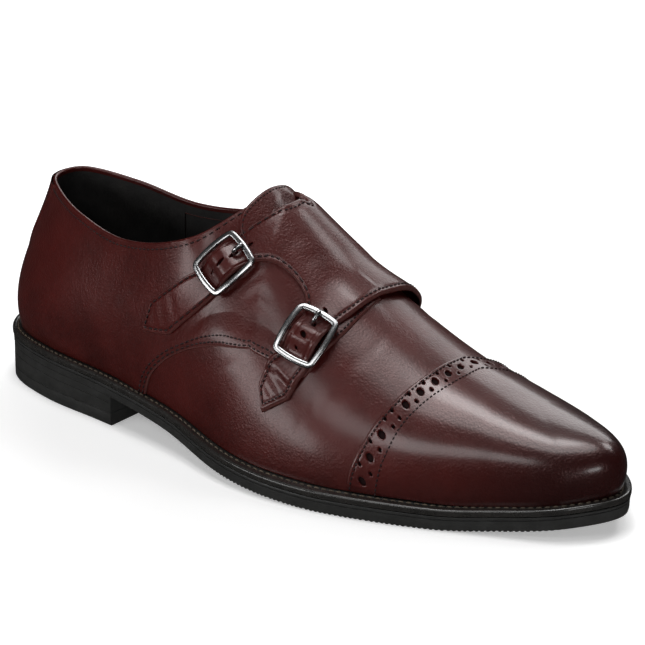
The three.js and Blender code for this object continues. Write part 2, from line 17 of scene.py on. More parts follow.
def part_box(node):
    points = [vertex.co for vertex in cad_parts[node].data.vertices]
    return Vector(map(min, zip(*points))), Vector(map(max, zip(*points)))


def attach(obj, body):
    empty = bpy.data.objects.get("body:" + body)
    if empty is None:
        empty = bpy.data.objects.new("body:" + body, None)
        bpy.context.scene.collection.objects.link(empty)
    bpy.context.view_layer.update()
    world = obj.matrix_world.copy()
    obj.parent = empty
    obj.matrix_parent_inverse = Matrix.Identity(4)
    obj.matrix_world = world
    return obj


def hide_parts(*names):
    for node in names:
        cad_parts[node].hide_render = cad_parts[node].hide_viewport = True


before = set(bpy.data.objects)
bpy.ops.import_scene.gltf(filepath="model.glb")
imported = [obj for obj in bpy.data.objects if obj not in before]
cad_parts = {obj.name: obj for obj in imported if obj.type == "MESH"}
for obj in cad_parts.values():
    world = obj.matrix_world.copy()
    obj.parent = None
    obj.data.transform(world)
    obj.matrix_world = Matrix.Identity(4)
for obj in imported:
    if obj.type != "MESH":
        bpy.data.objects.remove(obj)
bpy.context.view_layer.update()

# Driving sizes, in mm
GAP = 0.3  # between neighbouring pieces
WALL = 2.0  # the upper with its lining
WELT_THICK = 2.7
HEEL_LENGTH = 81.0
TOP_LIFT_THICK = 5.3
PITCH = 32.0  # mm between two sections on the skin, about

# Sections of the last from the toe tip to the back of the heel, as in the CAD part
OUTER = np.array([
    # x, y, bulge, rise, crown, lean, top x, top y, top z
    [302, 3.5, 7.5, 22, 19, 0, 266, 6, 40],
    [288, -17.5, 4, 20, 20, 0, 257, 6, 42],
    [260, -31.5, 2, 20, 22, 0, 243, 6, 46],
    [225, -46, 1, 20, 24, 0, 217, 6, 54.5],
    [190, -55, 0, 22, 26, 0, 184, 6, 72],
    [155, -55, -3, 28, 22, 0, 142, 4, 102.5],
    [115, -43.5, 1, 30, 26, 72, 114, -25.5, 86],
    [75, -37, 5, 26, 20, 82, 80, -25, 77.3],
    [40, -32, 7, 24, 18, 80, 50, -18.5, 80.5],
    [12, -20.5, 7, 24, 20, 78, 27, -7, 84.5],
    [0, 1, 7, 24, 20, 76, 15, 5.5, 86.5],
])
INNER = np.array([
    # x, y, bulge, rise, crown, lean, top x, top y, top z
    [302, 3.5, 7.5, 22, 19, 0, 266, 6, 40],
    [285, 30, 4, 20, 14, 0, 257, 6, 42],
    [260, 44, 3, 22, 14, 0, 243, 6, 46],
    [225, 53, 2, 24, 18, 0, 217, 6, 54.5],
    [190, 49.5, 3, 28, 24, 0, 184, 6, 72],
    [155, 40, 6, 34, 24, 0, 142, 4, 102.5],
    [115, 33.5, 8, 32, 24, 75, 110, 27, 84],
    [75, 35, 6, 28, 20, 84, 76, 28.5, 79.5],
    [40, 33, 7, 24, 18, 84, 45, 26.5, 84],
    [12, 22, 7, 24, 20, 80, 21, 19, 87.5],
    [0, 1, 7, 24, 20, 76, 15, 5.5, 86.5],
])
LOOP = np.vstack([OUTER, INNER[-2:0:-1]])
SIZE = len(LOOP)  # 20 steps round the shoe: toe 0, outer side, heel 10, inner side
HEEL = 10
COLLAR = 5  # the ridge ends here and the collar begins

SOLE_BOTTOM = [(0, 15.2), (40, 14.8), (75, 13.4), (110, 9.6), (145, 4), (175, 0.9),
               (200, 0), (240, 0), (268, 2.6), (302, 8)]
EDGE_THICK = [(0, 7.2), (75, 7.4), (130, 8.2), (200, 8.8), (302, 8.8)]
LEDGE = [(0, 4), (60, 4), (120, 4.5), (200, 5.5), (260, 5.5), (302, 5)]


def profile(table, x):
    """A smooth curve through (x, value) rows that never overshoots them."""
    px, pv = np.array(table, float).T
    x = np.clip(np.asarray(x, float), px[0], px[-1])
    slope = np.diff(pv) / np.diff(px)
    tangent = np.concatenate([[slope[0]], np.zeros(len(px) - 2), [slope[-1]]])
    before, after = slope[:-1], slope[1:]
    same = before * after > 0
    tangent[1:-1][same] = (2 * before * after)[same] / (before + after)[same]
    i = np.clip(np.searchsorted(px, x, side="right") - 1, 0, len(px) - 2)
    step = px[i + 1] - px[i]
    f = (x - px[i]) / step
    g = 1 - f
    return (g * g * (1 + 2 * f) * pv[i] + f * f * (1 + 2 * g) * pv[i + 1]
            + f * g * g * step * tangent[i] - f * f * g * step * tangent[i + 1])


def sole_bottom(x):
    return profile(SOLE_BOTTOM, x)


def welt_top(x):
    return sole_bottom(x) + profile(EDGE_THICK, x)


def blend(p0, p1, p2, p3, f):
    """Catmull-Rom between rows p1 and p2."""
    f = f[..., None]
    return 0.5 * (2 * p1 + (p2 - p0) * f + (2 * p0 - 5 * p1 + 4 * p2 - p3) * f * f
                  + (3 * p1 - p0 - 3 * p2 + p3) * f ** 3)


def loop_row(u):
    u = np.asarray(u, float)
    i = np.floor(u).astype(int)
    return blend(*(LOOP[(i + j) % SIZE] for j in (-1, 0, 1, 2)), u - i)


_top = OUTER[:COLLAR + 1, 6:9]
RIDGE = np.vstack([_top[1], _top, 2 * _top[-1] - _top[-2]])


def ridge(section):
    s = np.clip(section, 0, COLLAR)
    i = np.minimum(np.floor(s).astype(int), COLLAR - 1)
    return blend(*(RIDGE[i + j] for j in range(4)), s - i)


def ridge_slope(section):
    s = np.clip(section, 0.3, COLLAR)
    step = ridge(s + 0.05) - ridge(s - 0.05)
    return step[..., 2] / step[..., 0]


def section_of(u):
    """The section at loop place u: 0 at the toe and HEEL at the back, on both sides."""
    v = np.mod(u, SIZE)
    return np.where(v <= HEEL, v, SIZE - v)


def unit(v):
    return v / np.maximum(np.linalg.norm(v, axis=-1, keepdims=True), 1e-12)


def edge(u, inset=0.0):
    """The sole's edge moved in by inset, at z 0, and its outward normal."""
    p = loop_row(u)[..., :2]
    step = loop_row(np.asarray(u) + 1e-3)[..., :2] - loop_row(np.asarray(u) - 1e-3)[..., :2]
    out = unit(np.stack([-step[..., 1], step[..., 0], 0 * step[..., 0]], -1))
    point = np.concatenate([p, 0 * p[..., :1]], -1)
    return point - out * np.asarray(inset, float)[..., None], out


def ledge_at(u):
    """How far the upper's foot stands inside the sole's edge."""
    return profile(LEDGE, loop_row(u)[..., 0])


def smooth(x):
    """Eases from 0 to 1 as x goes from 0 to 1."""
    x = np.clip(x, 0, 1)
    return x * x * (3 - 2 * x)


def wall(u, t):
    """The outside of the upper at loop place u, from the feather edge (t 0) to the top (t 1)."""
    u, t = np.broadcast_arrays(np.asarray(u, float), np.asarray(t, float))
    row = loop_row(u)
    bulge, rise, crown, lean = (row[..., c, None] for c in range(2, 6))
    section = section_of(u)
    on_ridge = (section <= COLLAR)[..., None]
    top = np.where(on_ridge, ridge(section), row[..., 6:9])
    foot, out = edge(u, ledge_at(u))
    foot[..., 2] = welt_top(foot[..., 0]) + GAP
    up = np.array([0.0, 0, 1])
    low = foot + out * bulge + up * rise
    level = foot - top
    level[..., 2] = 0
    level = unit(level)
    past = smooth(section - COLLAR)
    level[..., 2] = ridge_slope(section) * level[..., 0] * (1 - past)
    angle = np.where(on_ridge, 0, np.radians(np.maximum(lean, 0)))
    high = top + level * crown * np.cos(angle) - up * crown * np.sin(angle)
    f = t[..., None]
    g = 1 - f
    return g ** 3 * foot + 3 * g * g * f * low + 3 * g * f * f * high + f ** 3 * top


def wall_normal(u, t):
    """The outward normal of wall()."""
    u, t = np.broadcast_arrays(np.asarray(u, float), np.asarray(t, float))
    s = np.clip(t, 0.002, 0.998)
    along = wall(u + 0.005, s) - wall(u - 0.005, s)
    rising = wall(u, s + 0.001) - wall(u, s - 0.001)
    return unit(np.cross(rising, along))


def shell(u, t, height=0.0):
    return wall(u, t) + wall_normal(u, t) * np.asarray(height, float)[..., None]


# Girth, measured down from the top of each section, on a grid that skin() reads
_us = np.linspace(0, SIZE, 801)
_ts = np.linspace(1, 0, 121)
_grid = wall(_us[:, None], _ts[None, :])
_run = np.concatenate([np.zeros((len(_us), 1)),
                       np.cumsum(np.linalg.norm(np.diff(_grid, axis=1), axis=2), axis=1)], 1)
GIRTH = _run[:, -1]
_shares = np.linspace(0, 1, 121)
_t_at = np.array([np.interp(_shares, r / r[-1], _ts) for r in _run])


def girth_at(section, side):
    """The whole girth of a section on one side, from the top to the feather edge."""
    u = np.where(np.asarray(side) < 0, section, SIZE - np.asarray(section, float))
    return np.interp(np.mod(u, SIZE), _us, GIRTH)


def skin_uv(section, girth):
    """The loop place and the height share of a place on the skin."""
    section, girth = np.broadcast_arrays(np.asarray(section, float), np.asarray(girth, float))
    u = np.mod(np.where(girth <= 0, section, SIZE - section), SIZE)
    x = u / SIZE * (len(_us) - 1)
    i = np.clip(x.astype(int), 0, len(_us) - 2)
    fx = x - i
    total = GIRTH[i] * (1 - fx) + GIRTH[i + 1] * fx
    y = np.clip(np.abs(girth) / total, 0, 1) * (len(_shares) - 1)
    j = np.clip(y.astype(int), 0, len(_shares) - 2)
    fy = y - j
    t = ((_t_at[i, j] * (1 - fy) + _t_at[i, j + 1] * fy) * (1 - fx)
         + (_t_at[i + 1, j] * (1 - fy) + _t_at[i + 1, j + 1] * fy) * fx)
    return u, t


def skin(section, girth, height=0.0):
    """A point by section, girth from the top (outer side negative) and height off the upper."""
    return shell(*skin_uv(section, girth), height)


# The CAD welt starts at x 0, and its outermost point is the sole's outermost point.
_welt_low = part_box("welt")[0]
_outline = edge(np.linspace(0, SIZE, 2001))[0]
ORIGIN = np.array([_welt_low.x * 1000 - _outline[:, 0].min(),
                   _welt_low.y * 1000 - _outline[:, 1].min(), 0])


def place(points):
    """Shoemaker's millimetres to the frame's metres."""
    return (np.asarray(points, float).reshape(-1, 3) + ORIGIN) / 1000


# Materials
def nodes_of(name):
    material = bpy.data.materials.new(name)
    material.use_nodes = True
    tree = material.node_tree
    return material, tree, tree.nodes["Principled BSDF"]


def put(node, values):
    """Sets a node's own sockets."""
    for key, value in values.items():
        node.inputs[key].default_value = value


def object_place(tree):
    return tree.nodes.new("ShaderNodeTexCoord").outputs["Object"]


def noise(tree, scale, detail=3, roughness=0.5):
    made = tree.nodes.new("ShaderNodeTexNoise")
    put(made, {"Scale": scale, "Detail": detail, "Roughness": roughness})
    tree.links.new(object_place(tree), made.inputs["Vector"])
    return made.outputs["Fac"]


def ramp(tree, source, stops):
    made = tree.nodes.new("ShaderNodeValToRGB")
    made.color_ramp.elements[0].position, made.color_ramp.elements[0].color = stops[0]
    made.color_ramp.elements[1].position, made.color_ramp.elements[1].color = stops[-1]
    for position, colour in stops[1:-1]:
        made.color_ramp.elements.new(position).color = colour
    tree.links.new(source, made.inputs["Fac"])
    return made.outputs["Color"]


def mix(tree, factor, a, b):
    """Blends from the socket a to the colour b."""
    made = tree.nodes.new("ShaderNodeMix")
    made.data_type = "RGBA"
    tree.links.new(factor, made.inputs[0])
    tree.links.new(a, made.inputs[6])
    made.inputs[7].default_value = b
    return made.outputs[2]


def map_range(tree, source, start, end, low, high, kind="LINEAR"):
    made = tree.nodes.new("ShaderNodeMapRange")
    made.interpolation_type = kind
    put(made, {"From Min": start, "From Max": end, "To Min": low, "To Max": high})
    tree.links.new(source, made.inputs["Value"])
    return made.outputs["Result"]


def bump(tree, shader, *layers):
    """Stacks (height socket, strength, distance in m) into the shader's normal."""
    normal = None
    for height, strength, distance in layers:
        made = tree.nodes.new("ShaderNodeBump")
        put(made, {"Strength": strength, "Distance": distance})
        tree.links.new(height, made.inputs["Height"])
        if normal:
            tree.links.new(normal, made.inputs["Normal"])
        normal = made.outputs["Normal"]
    tree.links.new(normal, shader.inputs["Normal"])


def grey(v):
    return (v, v, v, 1)


OXBLOOD = (0.050, 0.0056, 0.0045, 1)
OXBLOOD_DARK = (0.015, 0.0020, 0.0019, 1)
# The paler cut edges are partly wear and partly a painted highlight where the rounded edge catches light.
EDGE_WEAR_AND_HIGHLIGHT = (0.115, 0.05, 0.044, 1)  # the cut edges
TOE_POLISH = (0.07, 0.14)  # m along the shoe: where the darker polish begins and is full


def calf(name, rough, coat, coat_rough):
    """Polished calf: a mottled dye, fine grain, paler cut edges (partly wear, partly a painted highlight) and
    darker polish at the toe.
    """
    material, tree, shader = nodes_of(name)
    deeper, lighter = (tuple(c * f for c in OXBLOOD[:3]) + (1,) for f in (0.66, 1.25))
    mottle = ramp(tree, noise(tree, 42, 5, 0.62), [(0.3, deeper), (0.5, OXBLOOD), (0.7, lighter)])
    split = tree.nodes.new("ShaderNodeSeparateXYZ")
    tree.links.new(object_place(tree), split.inputs[0])
    toe = map_range(tree, split.outputs["X"], *TOE_POLISH, 0, 0.9, "SMOOTHSTEP")
    # The rim attribute makes the cut edges paler: partly wear, partly a painted highlight.
    rim = tree.nodes.new("ShaderNodeAttribute")
    rim.attribute_name = "rim"
    colour = mix(tree, rim.outputs["Fac"], mix(tree, toe, mottle, OXBLOOD_DARK), EDGE_WEAR_AND_HIGHLIGHT)
    tree.links.new(colour, shader.inputs["Base Color"])
    shine = ramp(tree, noise(tree, 90, 3, 0.6), [(0.3, grey(rough[0])), (0.7, grey(rough[1]))])
    tree.links.new(shine, shader.inputs["Roughness"])
    put(shader, {"Coat Weight": coat, "Coat Roughness": coat_rough, "Specular IOR Level": 0.42,
                 "Specular Tint": (1, 0.62, 0.6, 1)})
    pebble = tree.nodes.new("ShaderNodeTexVoronoi")
    put(pebble, {"Scale": 1100})
    tree.links.new(object_place(tree), pebble.inputs["Vector"])
    bump(tree, shader, (noise(tree, 160, 3, 0.55), 0.07, 0.002),
         (pebble.outputs["Distance"], 0.22, 0.0004), (noise(tree, 800, 3, 0.6), 0.3, 0.0005))
    return material


def plain(name, base, other, rough, scale, bumps, metallic=0.0, coat=0.0, specular=0.5):
    """A finish with two close colours, a roughness range and fine bumps (scale, strength, distance)."""
    material, tree, shader = nodes_of(name)
    colour = ramp(tree, noise(tree, scale, 3, 0.6), [(0.35, base + (1,)), (0.68, other + (1,))])
    tree.links.new(colour, shader.inputs["Base Color"])
    shine = ramp(tree, noise(tree, scale * 2.3, 3, 0.6), [(0.3, grey(rough[0])), (0.7, grey(rough[1]))])
    tree.links.new(shine, shader.inputs["Roughness"])
    put(shader, {"Metallic": metallic, "Coat Weight": coat, "Specular IOR Level": specular})
    bump(tree, shader, *((noise(tree, s), k, d) for s, k, d in bumps))
    return material


LEATHER = calf("oxblood_calf", (0.32, 0.4), 0.45, 0.2)
POLISHED = calf("polished_toe_calf", (0.28, 0.36), 0.8, 0.18)
THREAD = plain("maroon_thread", (0.010, 0.002, 0.002), (0.022, 0.005, 0.005), (0.6, 0.8), 900,
               [(2500, 0.5, 0.0002)])
WELT_THREAD = plain("welt_thread", (0.06, 0.045, 0.032), (0.15, 0.115, 0.08), (0.65, 0.85), 500,
                    [(2500, 0.5, 0.0002)])
LINING = plain("black_lining", (0.012, 0.011, 0.011), (0.022, 0.02, 0.019), (0.5, 0.65), 120,
               [(1400, 0.15, 0.0003), (250, 0.08, 0.001)])
SOLE = plain("black_sole", (0.021, 0.021, 0.020), (0.029, 0.029, 0.028), (0.34, 0.46), 160,
             [(2200, 0.12, 0.0002)], specular=0.4)
WELT = plain("black_welt", (0.014, 0.013, 0.012), (0.022, 0.020, 0.018), (0.24, 0.36), 220,
             [(1500, 0.14, 0.0003)], coat=0.5)
NICKEL = plain("polished_nickel", (0.46, 0.46, 0.47), (0.54, 0.54, 0.54), (0.2, 0.25), 120,
               [(300, 0.02, 0.0002)], metallic=1.0)
# Painted shade: a dark colour for the discs at the bottom of punched holes, where the leather below lies in
# shade.
HOLE_PAINTED_SHADE = plain("punched_hole_painted_shade", (0.010, 0.004, 0.004), (0.018, 0.007, 0.007), (0.7, 0.9), 800,
             [(2500, 0.3, 0.0002)], specular=0.1)


# Meshes
def solid(name, points, faces, material, smooth_angle=50, replaces=()):
    """A piece from points in mm, riding on the shoe's one body."""
    mesh = bpy.data.meshes.new(name)
    mesh.from_pydata(place(points).tolist(), [], [tuple(int(i) for i in f) for f in faces])
    mesh.validate()
    mesh.update()
    mesh.materials.append(material)
    made = bpy.data.objects.new(name, mesh)
    bpy.context.scene.collection.objects.link(made)
    mesh.polygons.foreach_set("use_smooth", np.ones(len(mesh.polygons), bool))
    if smooth_angle < 180:
        mesh.set_sharp_from_angle(angle=math.radians(smooth_angle))
    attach(made, "root")
    if replaces:
        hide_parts(*replaces)
    return made


def grid_faces(rows, columns, wrap=False, start=0, loop=False):
    """Quads of a grid stored row by row. They face out when rows rise and columns go round. wrap
    joins the last column to the first, and loop the last row to the first."""
    r = np.arange(rows if loop else rows - 1)[:, None]
    c = np.arange(columns if wrap else columns - 1)[None, :]
    up, right = (r + 1) % rows * columns, (c + 1) % columns
    quads = [r * columns + c, up + c, up + right, r * columns + right]
    return np.stack(quads, -1).reshape(-1, 4) + start


# Plane curves in (section * PITCH, girth)
def dense(run, spacing):
    """A smooth curve through control points, sampled at about spacing."""
    p = np.array(run, float)
    if len(p) == 2:
        n = max(int(np.linalg.norm(p[1] - p[0]) / spacing), 1)
        return p[0] + (p[1] - p[0]) * np.linspace(0, 1, n + 1)[:, None]
    q = np.vstack([2 * p[0] - p[1], p, 2 * p[-1] - p[-2]])
    f = np.linspace(0, 1, 24, endpoint=False)
    fine = np.vstack([blend(*(np.broadcast_to(q[i + j], (24, 2)) for j in range(4)), f)
                      for i in range(len(q) - 3)] + [q[-2][None]])
    run_length = np.concatenate([[0], np.cumsum(np.linalg.norm(np.diff(fine, axis=0), axis=1))])
    n = max(int(run_length[-1] / spacing), 2)
    s = np.linspace(0, run_length[-1], n + 1)
    return np.stack([np.interp(s, run_length, fine[:, c]) for c in (0, 1)], 1)


def flat(points):
    """(section, girth) rows to the plane."""
    return np.array(points, float) * [PITCH, 1]


def to_plane(k, g):
    return np.stack([np.ravel(k) * PITCH, np.ravel(g)], 1)


def circle(x, y, radius, count=14):
    turn = np.linspace(0, 2 * math.pi, count, endpoint=False)
    return np.array([x, y]) + radius * np.stack([np.cos(turn), np.sin(turn)], 1)


def to_polyline(points, line, closed=True):
    """Distance from points to a polyline."""
    a = line
    b = np.roll(line, -1, axis=0) if closed else line[1:]
    a = a if closed else line[:-1]
    d = b - a
    length2 = np.maximum((d ** 2).sum(1), 1e-12)
    best = np.full(len(points), 1e9)
    for i in range(0, len(points), 4000):
        p = points[i:i + 4000, None, :] - a[None]
        s = np.clip((p * d).sum(2) / length2, 0, 1)
        best[i:i + 4000] = np.sqrt(((p - s[..., None] * d) ** 2).sum(2).min(1))
    return best


def inside(points, loop):
    """Which points lie inside a closed outline."""
    x, y = points[:, 0][:, None], points[:, 1][:, None]
    ax, ay = loop[:, 0], loop[:, 1]
    bx, by = np.roll(ax, -1), np.roll(ay, -1)
    hits = np.zeros(len(points), int)
    for i in range(0, len(points), 4000):
        xs, ys = x[i:i + 4000], y[i:i + 4000]
        spans = (ay > ys) != (by > ys)
        cross = ax + (ys - ay) / np.where(by == ay, 1e-9, by - ay) * (bx - ax)
        hits[i:i + 4000] = (spans & (xs < cross)).sum(1)
    return hits % 2 == 1


def offset(loop, distance):
    """Points at distance inside a closed outline, in order."""
    area = np.sum(loop[:, 0] * np.roll(loop[:, 1], -1) - np.roll(loop[:, 0], -1) * loop[:, 1])
    step = np.roll(loop, -1, axis=0) - np.roll(loop, 1, axis=0)
    inward = unit(np.stack([-step[:, 1], step[:, 0]], 1)) * np.sign(area)
    moved = loop + inward * distance
    return moved[to_polyline(moved, loop) > 0.96 * abs(distance)]


RINGS = (0.12, 0.35, 0.7, 1.15, 1.6, 2.0, 2.5)  # mm from a piece's edge, where points are set
ROUND_OVER = 0.7  # width of a piece's rounded edge


def patch(name, loop, thickness, material=LEATHER, base=0.0, holes=(), spacing=1.7, lift=None,
          rings=RINGS, groove=None, rim=None, replaces=()):
    """A piece of leather laid on the skin, with a rounded edge all round.

    holes are (x, y, radius) in the plane. lift(section, girth) is added to its height. groove is
    (distance from the edge, depth) of a line of stitching. rim is the part of the edge that shows,
    if it isn't the whole outline.
    """
    loops = [loop] + [circle(*hole) for hole in holes]
    low, high = loop.min(0), loop.max(0)
    nx, ny = ((high - low) / [spacing, spacing * 0.87]).astype(int) + 2
    gx, gy = np.meshgrid(np.arange(nx), np.arange(ny))
    body = np.stack([low[0] + (gx + 0.5 * (gy % 2)) * spacing, low[1] + gy * spacing * 0.87],
                    -1).reshape(-1, 2)
    body = body[inside(body, loop)]
    body = body[to_polyline(body, loop) > rings[-1] + 0.4 * spacing]
    points = list(loops)
    for distance in rings:
        ring = offset(loop, distance)
        points.append(ring[inside(ring, loop)])
    for x, y, r in holes:
        points += [circle(x, y, r + distance) for distance in (0.2, 0.6)]
        body = body[np.hypot(body[:, 0] - x, body[:, 1] - y) > r + 1.0]
    points.append(body)
    flat_points = np.vstack(points)
    edges, start = [], 0
    for one in loops:
        n = len(one)
        edges += [(start + i, start + (i + 1) % n) for i in range(n)]
        start += n
    verts, _, faces = delaunay_2d_cdt([Vector(p) for p in flat_points], edges, [], 1, 1e-4)[:3]
    xy = np.array([tuple(v) for v in verts])
    faces = np.array([f for f in faces if len(f) == 3])
    middle = xy[faces].mean(1)
    keep = inside(middle, loop)
    for x, y, r in holes:
        keep &= np.hypot(middle[:, 0] - x, middle[:, 1] - y) > r * 0.97
    faces = faces[keep][:, ::-1]
    from_edge = to_polyline(xy, loop if rim is None else rim, rim is None)
    near, on_rim = from_edge, from_edge < 0.05
    for x, y, r in holes:
        from_hole = np.abs(np.hypot(xy[:, 0] - x, xy[:, 1] - y) - r)
        near = np.minimum(near, from_hole * 5 + 0.25)
        on_rim = on_rim | (from_hole < 0.05)
    over = np.clip(near / ROUND_OVER, 0, 1)
    height = base + thickness * (0.35 + 0.65 * np.sqrt(1 - (1 - over) ** 2))
    if groove:
        height -= groove[1] * np.exp(-((from_edge - groove[0]) / 0.42) ** 2)
    k, g = xy[:, 0] / PITCH, xy[:, 1]
    raised = lift(k, g) if lift else 0 * k
    top = skin(k, g, height + raised)
    # Skirts run from the rim down to the surface below.
    pairs = np.vstack([faces[:, [0, 1]], faces[:, [1, 2]], faces[:, [2, 0]]])
    key = np.sort(pairs, axis=1)
    _, first, count = np.unique(key, axis=0, return_index=True, return_counts=True)
    border = pairs[first[count == 1]]
    border = border[on_rim[border].all(1)]
    used = np.unique(border)
    low_at = {int(v): len(xy) + i for i, v in enumerate(used)}
    under = skin(k[used], g[used], base - 0.15 + raised[used])
    skirt = [(b, a, low_at[int(a)], low_at[int(b)]) for a, b in border]
    made = solid(name, np.vstack([top, under]), list(faces) + skirt, material,
                 replaces=replaces)
    # The cut edge is paler: partly wear, partly a painted highlight where the rounded edge catches light.
    if len(made.data.vertices) == len(top) + len(under):
        worn = np.concatenate([0.55 * (1 - smooth((from_edge - 0.1) / 0.55)), np.zeros(len(under))])
        made.data.attributes.new("rim", "FLOAT", "POINT").data.foreach_set("value", worn)
    return made


# Creases
# Each from one (section, girth) to another, with its width and depth in mm
VAMP_CREASES = [
    (3.62, -16, 3.74, -38, 2.4, 0.09), (3.76, -28, 3.88, -52, 2.6, 0.1), (3.9, -44, 4.02, -66, 2.4, 0.08),
    (3.66, -48, 3.76, -66, 2.2, 0.06), (3.7, 12, 3.8, 36, 2.6, 0.16), (4.1, -60, 4.2, -76, 2.2, 0.1),
    (4.98, -37, 5.3, -41, 2.4, 0.15), (4.86, -43, 5.22, -47.5, 2.4, 0.17), (4.8, -50, 5.1, -55, 2.2, 0.14),
    (5.5, -38, 5.85, -42, 2.2, 0.14), (6.55, -16, 6.9, -28, 2.8, 0.14), (5.0, -74, 5.4, -70, 2.6, 0.14),
]
STRAP_CREASES = [
    (6.12, -20, 5.98, -33, 1.5, 0.16), (6.24, -22, 6.12, -35, 1.4, 0.13), (6.36, -25, 6.22, -35, 1.4, 0.14),
    (4.4, -64, 4.66, -62, 1.5, 0.16), (4.42, -69, 4.7, -67, 1.4, 0.12), (4.48, -73, 4.7, -72, 1.4, 0.12),
    (4.3, -10, 4.42, -24, 2.2, 0.07), (4.5, -8, 4.66, -21, 2.2, 0.09), (4.74, -10, 4.86, -22, 2.2, 0.08),
    (5.0, -16, 5.1, -24, 1.8, 0.1), (4.1, -4, 4.18, -20, 2.2, 0.07), (4.4, 14, 4.6, 30, 2.6, 0.16),
]


def crease(k, g, lines):
    """Soft troughs with a low ridge on both sides, which fade at their ends."""
    at = to_plane(k, g)
    rise = np.zeros(len(at))
    for k0, g0, k1, g1, width, depth in lines:
        start, step = np.array([k0 * PITCH, g0]), np.array([(k1 - k0) * PITCH, g1 - g0])
        along = (at - start) @ step / (step @ step)
        off = at - start - np.clip(along, 0, 1)[:, None] * step
        away = (off ** 2).sum(1) / width ** 2
        fade = smooth((along + 0.15) / 0.5) * smooth((1.15 - along) / 0.5)
        rise -= depth * fade * (1 - 0.9 * away) * np.exp(-away)
    return rise.reshape(np.shape(k))


def girth_of(u, t):
    """The girth of places given by a row of u and a row of t, as a grid of t by u."""
    x = u / SIZE * (len(_us) - 1)
    i = np.clip(x.astype(int), 0, len(_us) - 2)
    f = (x - i)[:, None]
    run = _run[i] * (1 - f) + _run[i + 1] * f
    girth = np.array([np.interp(1 - t, 1 - _ts, row) for row in run]).T
    return girth * np.where(u <= HEEL, -1, 1)[None]


# Upper
THROAT_FRONT, THROAT_HALF, THROAT_MIDDLE = 176, 11, 5
THROAT_REAR, THROAT_LOW = 110, 62
EDGE_ROLL = 0.9  # radius of the folded collar edge


def outside_throat(points, faces):
    """Drops the faces over the throat, which lies under the flap."""
    middle = points[faces].mean(1)
    centre = THROAT_FRONT - THROAT_HALF
    across = np.abs(middle[:, 1] - THROAT_MIDDLE)
    ahead = np.maximum(middle[:, 0] - centre, 0)
    cut = np.hypot(across, ahead) < THROAT_HALF
    return faces[~(cut & (middle[:, 2] > THROAT_LOW) & (middle[:, 0] > THROAT_REAR))]


def upper():
    around, rows, rolled = 640, 64, 10
    u = np.linspace(0, SIZE, around, endpoint=False)
    t = np.linspace(0, 1, rows)
    worn = crease(section_of(u)[None] + 0 * t[:, None], girth_of(u, t), VAMP_CREASES)
    outer = shell(u[None, :], t[:, None], worn).reshape(-1, 3)
    faces = outside_throat(outer, grid_faces(rows, around, wrap=True))
    # The collar edge is folded over to the inside.
    c = np.linspace(COLLAR + 0.1, SIZE - COLLAR - 0.1, 420)
    top = wall(c, 1.0)
    normal = wall_normal(c, 0.998)
    rising = unit(wall(c, 1.0) - wall(c, 0.985))
    angle = np.linspace(0, math.pi, rolled)[:, None, None]
    roll = (top - normal * EDGE_ROLL)[None] + EDGE_ROLL * (
        np.cos(angle) * normal[None] + np.sin(angle) * rising[None])
    tuck = roll[-1] - rising * 1.2
    fold = np.concatenate([roll, tuck[None]]).reshape(-1, 3)
    faces = np.vstack([faces, grid_faces(rolled + 1, len(c), start=len(outer))])
    return solid("upper_leather", np.vstack([outer, fold]), faces, LEATHER, 180,
                 replaces=["upper"])


def lining():
    around, rows = 320, 40
    u = np.linspace(0, SIZE, around, endpoint=False)
    t = np.linspace(0, 0.985, rows)
    points = shell(u[None, :], t[:, None], -2 * EDGE_ROLL + 0.05).reshape(-1, 3)
    faces = outside_throat(points, grid_faces(rows, around, wrap=True))[:, ::-1]
    return solid("upper_lining", points, faces, LINING, 180)


# Buckles
class Seat:
    """A buckle's flat axes on the skin: a up the strap, b across it, c off the leather."""

    def __init__(self, middle, ahead):
        self.middle = middle
        self.origin = skin(*middle)
        k, g = middle
        per_k = skin(k + 0.05, g) - skin(k - 0.05, g)
        per_g = skin(k, g + 1) - skin(k, g - 1)
        self.off = unit(np.cross(per_g, per_k))
        step = skin(*ahead) - self.origin
        self.up = unit(step - self.off * (step @ self.off))
        self.across = np.cross(self.off, self.up)
        self.fall_a = (self.sag(10, 0) + self.sag(-10, 0)) / 200
        self.fall_b = (self.sag(0, 7) + self.sag(0, -7)) / 98

    def flat(self, k, g):
        """(a, b, c) of a place on the skin."""
        step = skin(k, g) - self.origin
        return np.array([step @ self.up, step @ self.across, step @ self.off])

    def on_skin(self, a, b):
        """The (section, girth) under (a, b)."""
        k, g = self.middle
        for _ in range(6):
            here = self.flat(k, g)
            dk = (self.flat(k + 0.01, g) - here) / 0.01
            dg = (self.flat(k, g + 0.1) - here) / 0.1
            det = dk[0] * dg[1] - dk[1] * dg[0]
            ea, eb = a - here[0], b - here[1]
            k += (ea * dg[1] - eb * dg[0]) / det
            g = min(g + (eb * dk[0] - ea * dk[1]) / det, -0.5)
        return k, g

    def sag(self, a, b):
        return self.flat(*self.on_skin(a, b))[2]

    def place(self, points):
        """Points in (a, b, c) to mm, bent to follow the leather."""
        a, b, c = np.moveaxis(np.asarray(points, float), -1, 0)
        c = c + self.fall_a * a * a + self.fall_b * b * b
        return (self.origin + a[..., None] * self.up + b[..., None] * self.across
                + c[..., None] * self.off)


REAR = Seat((5.47, -24.8), (5.27, -23.7))
FRONT = Seat((4.36, -42.0), (4.3, -30.8))
SEATS = {"rear": REAR, "front": FRONT}
FRAME_LONG, FRAME_WIDE, FRAME_CORNER, FRAME_HIGH = 22.6, 19.0, 3.4, 4.1
FRAME_INSET = 1.15  # from the frame's outside to the middle of its metal
STRAP_HALF = 6.3
HUMP_HIGH, HUMP_REACH, HUMP_FLAT = 3.4, 8.8, 1.2
HUMP_WITHIN = 16  # mm from a buckle's middle


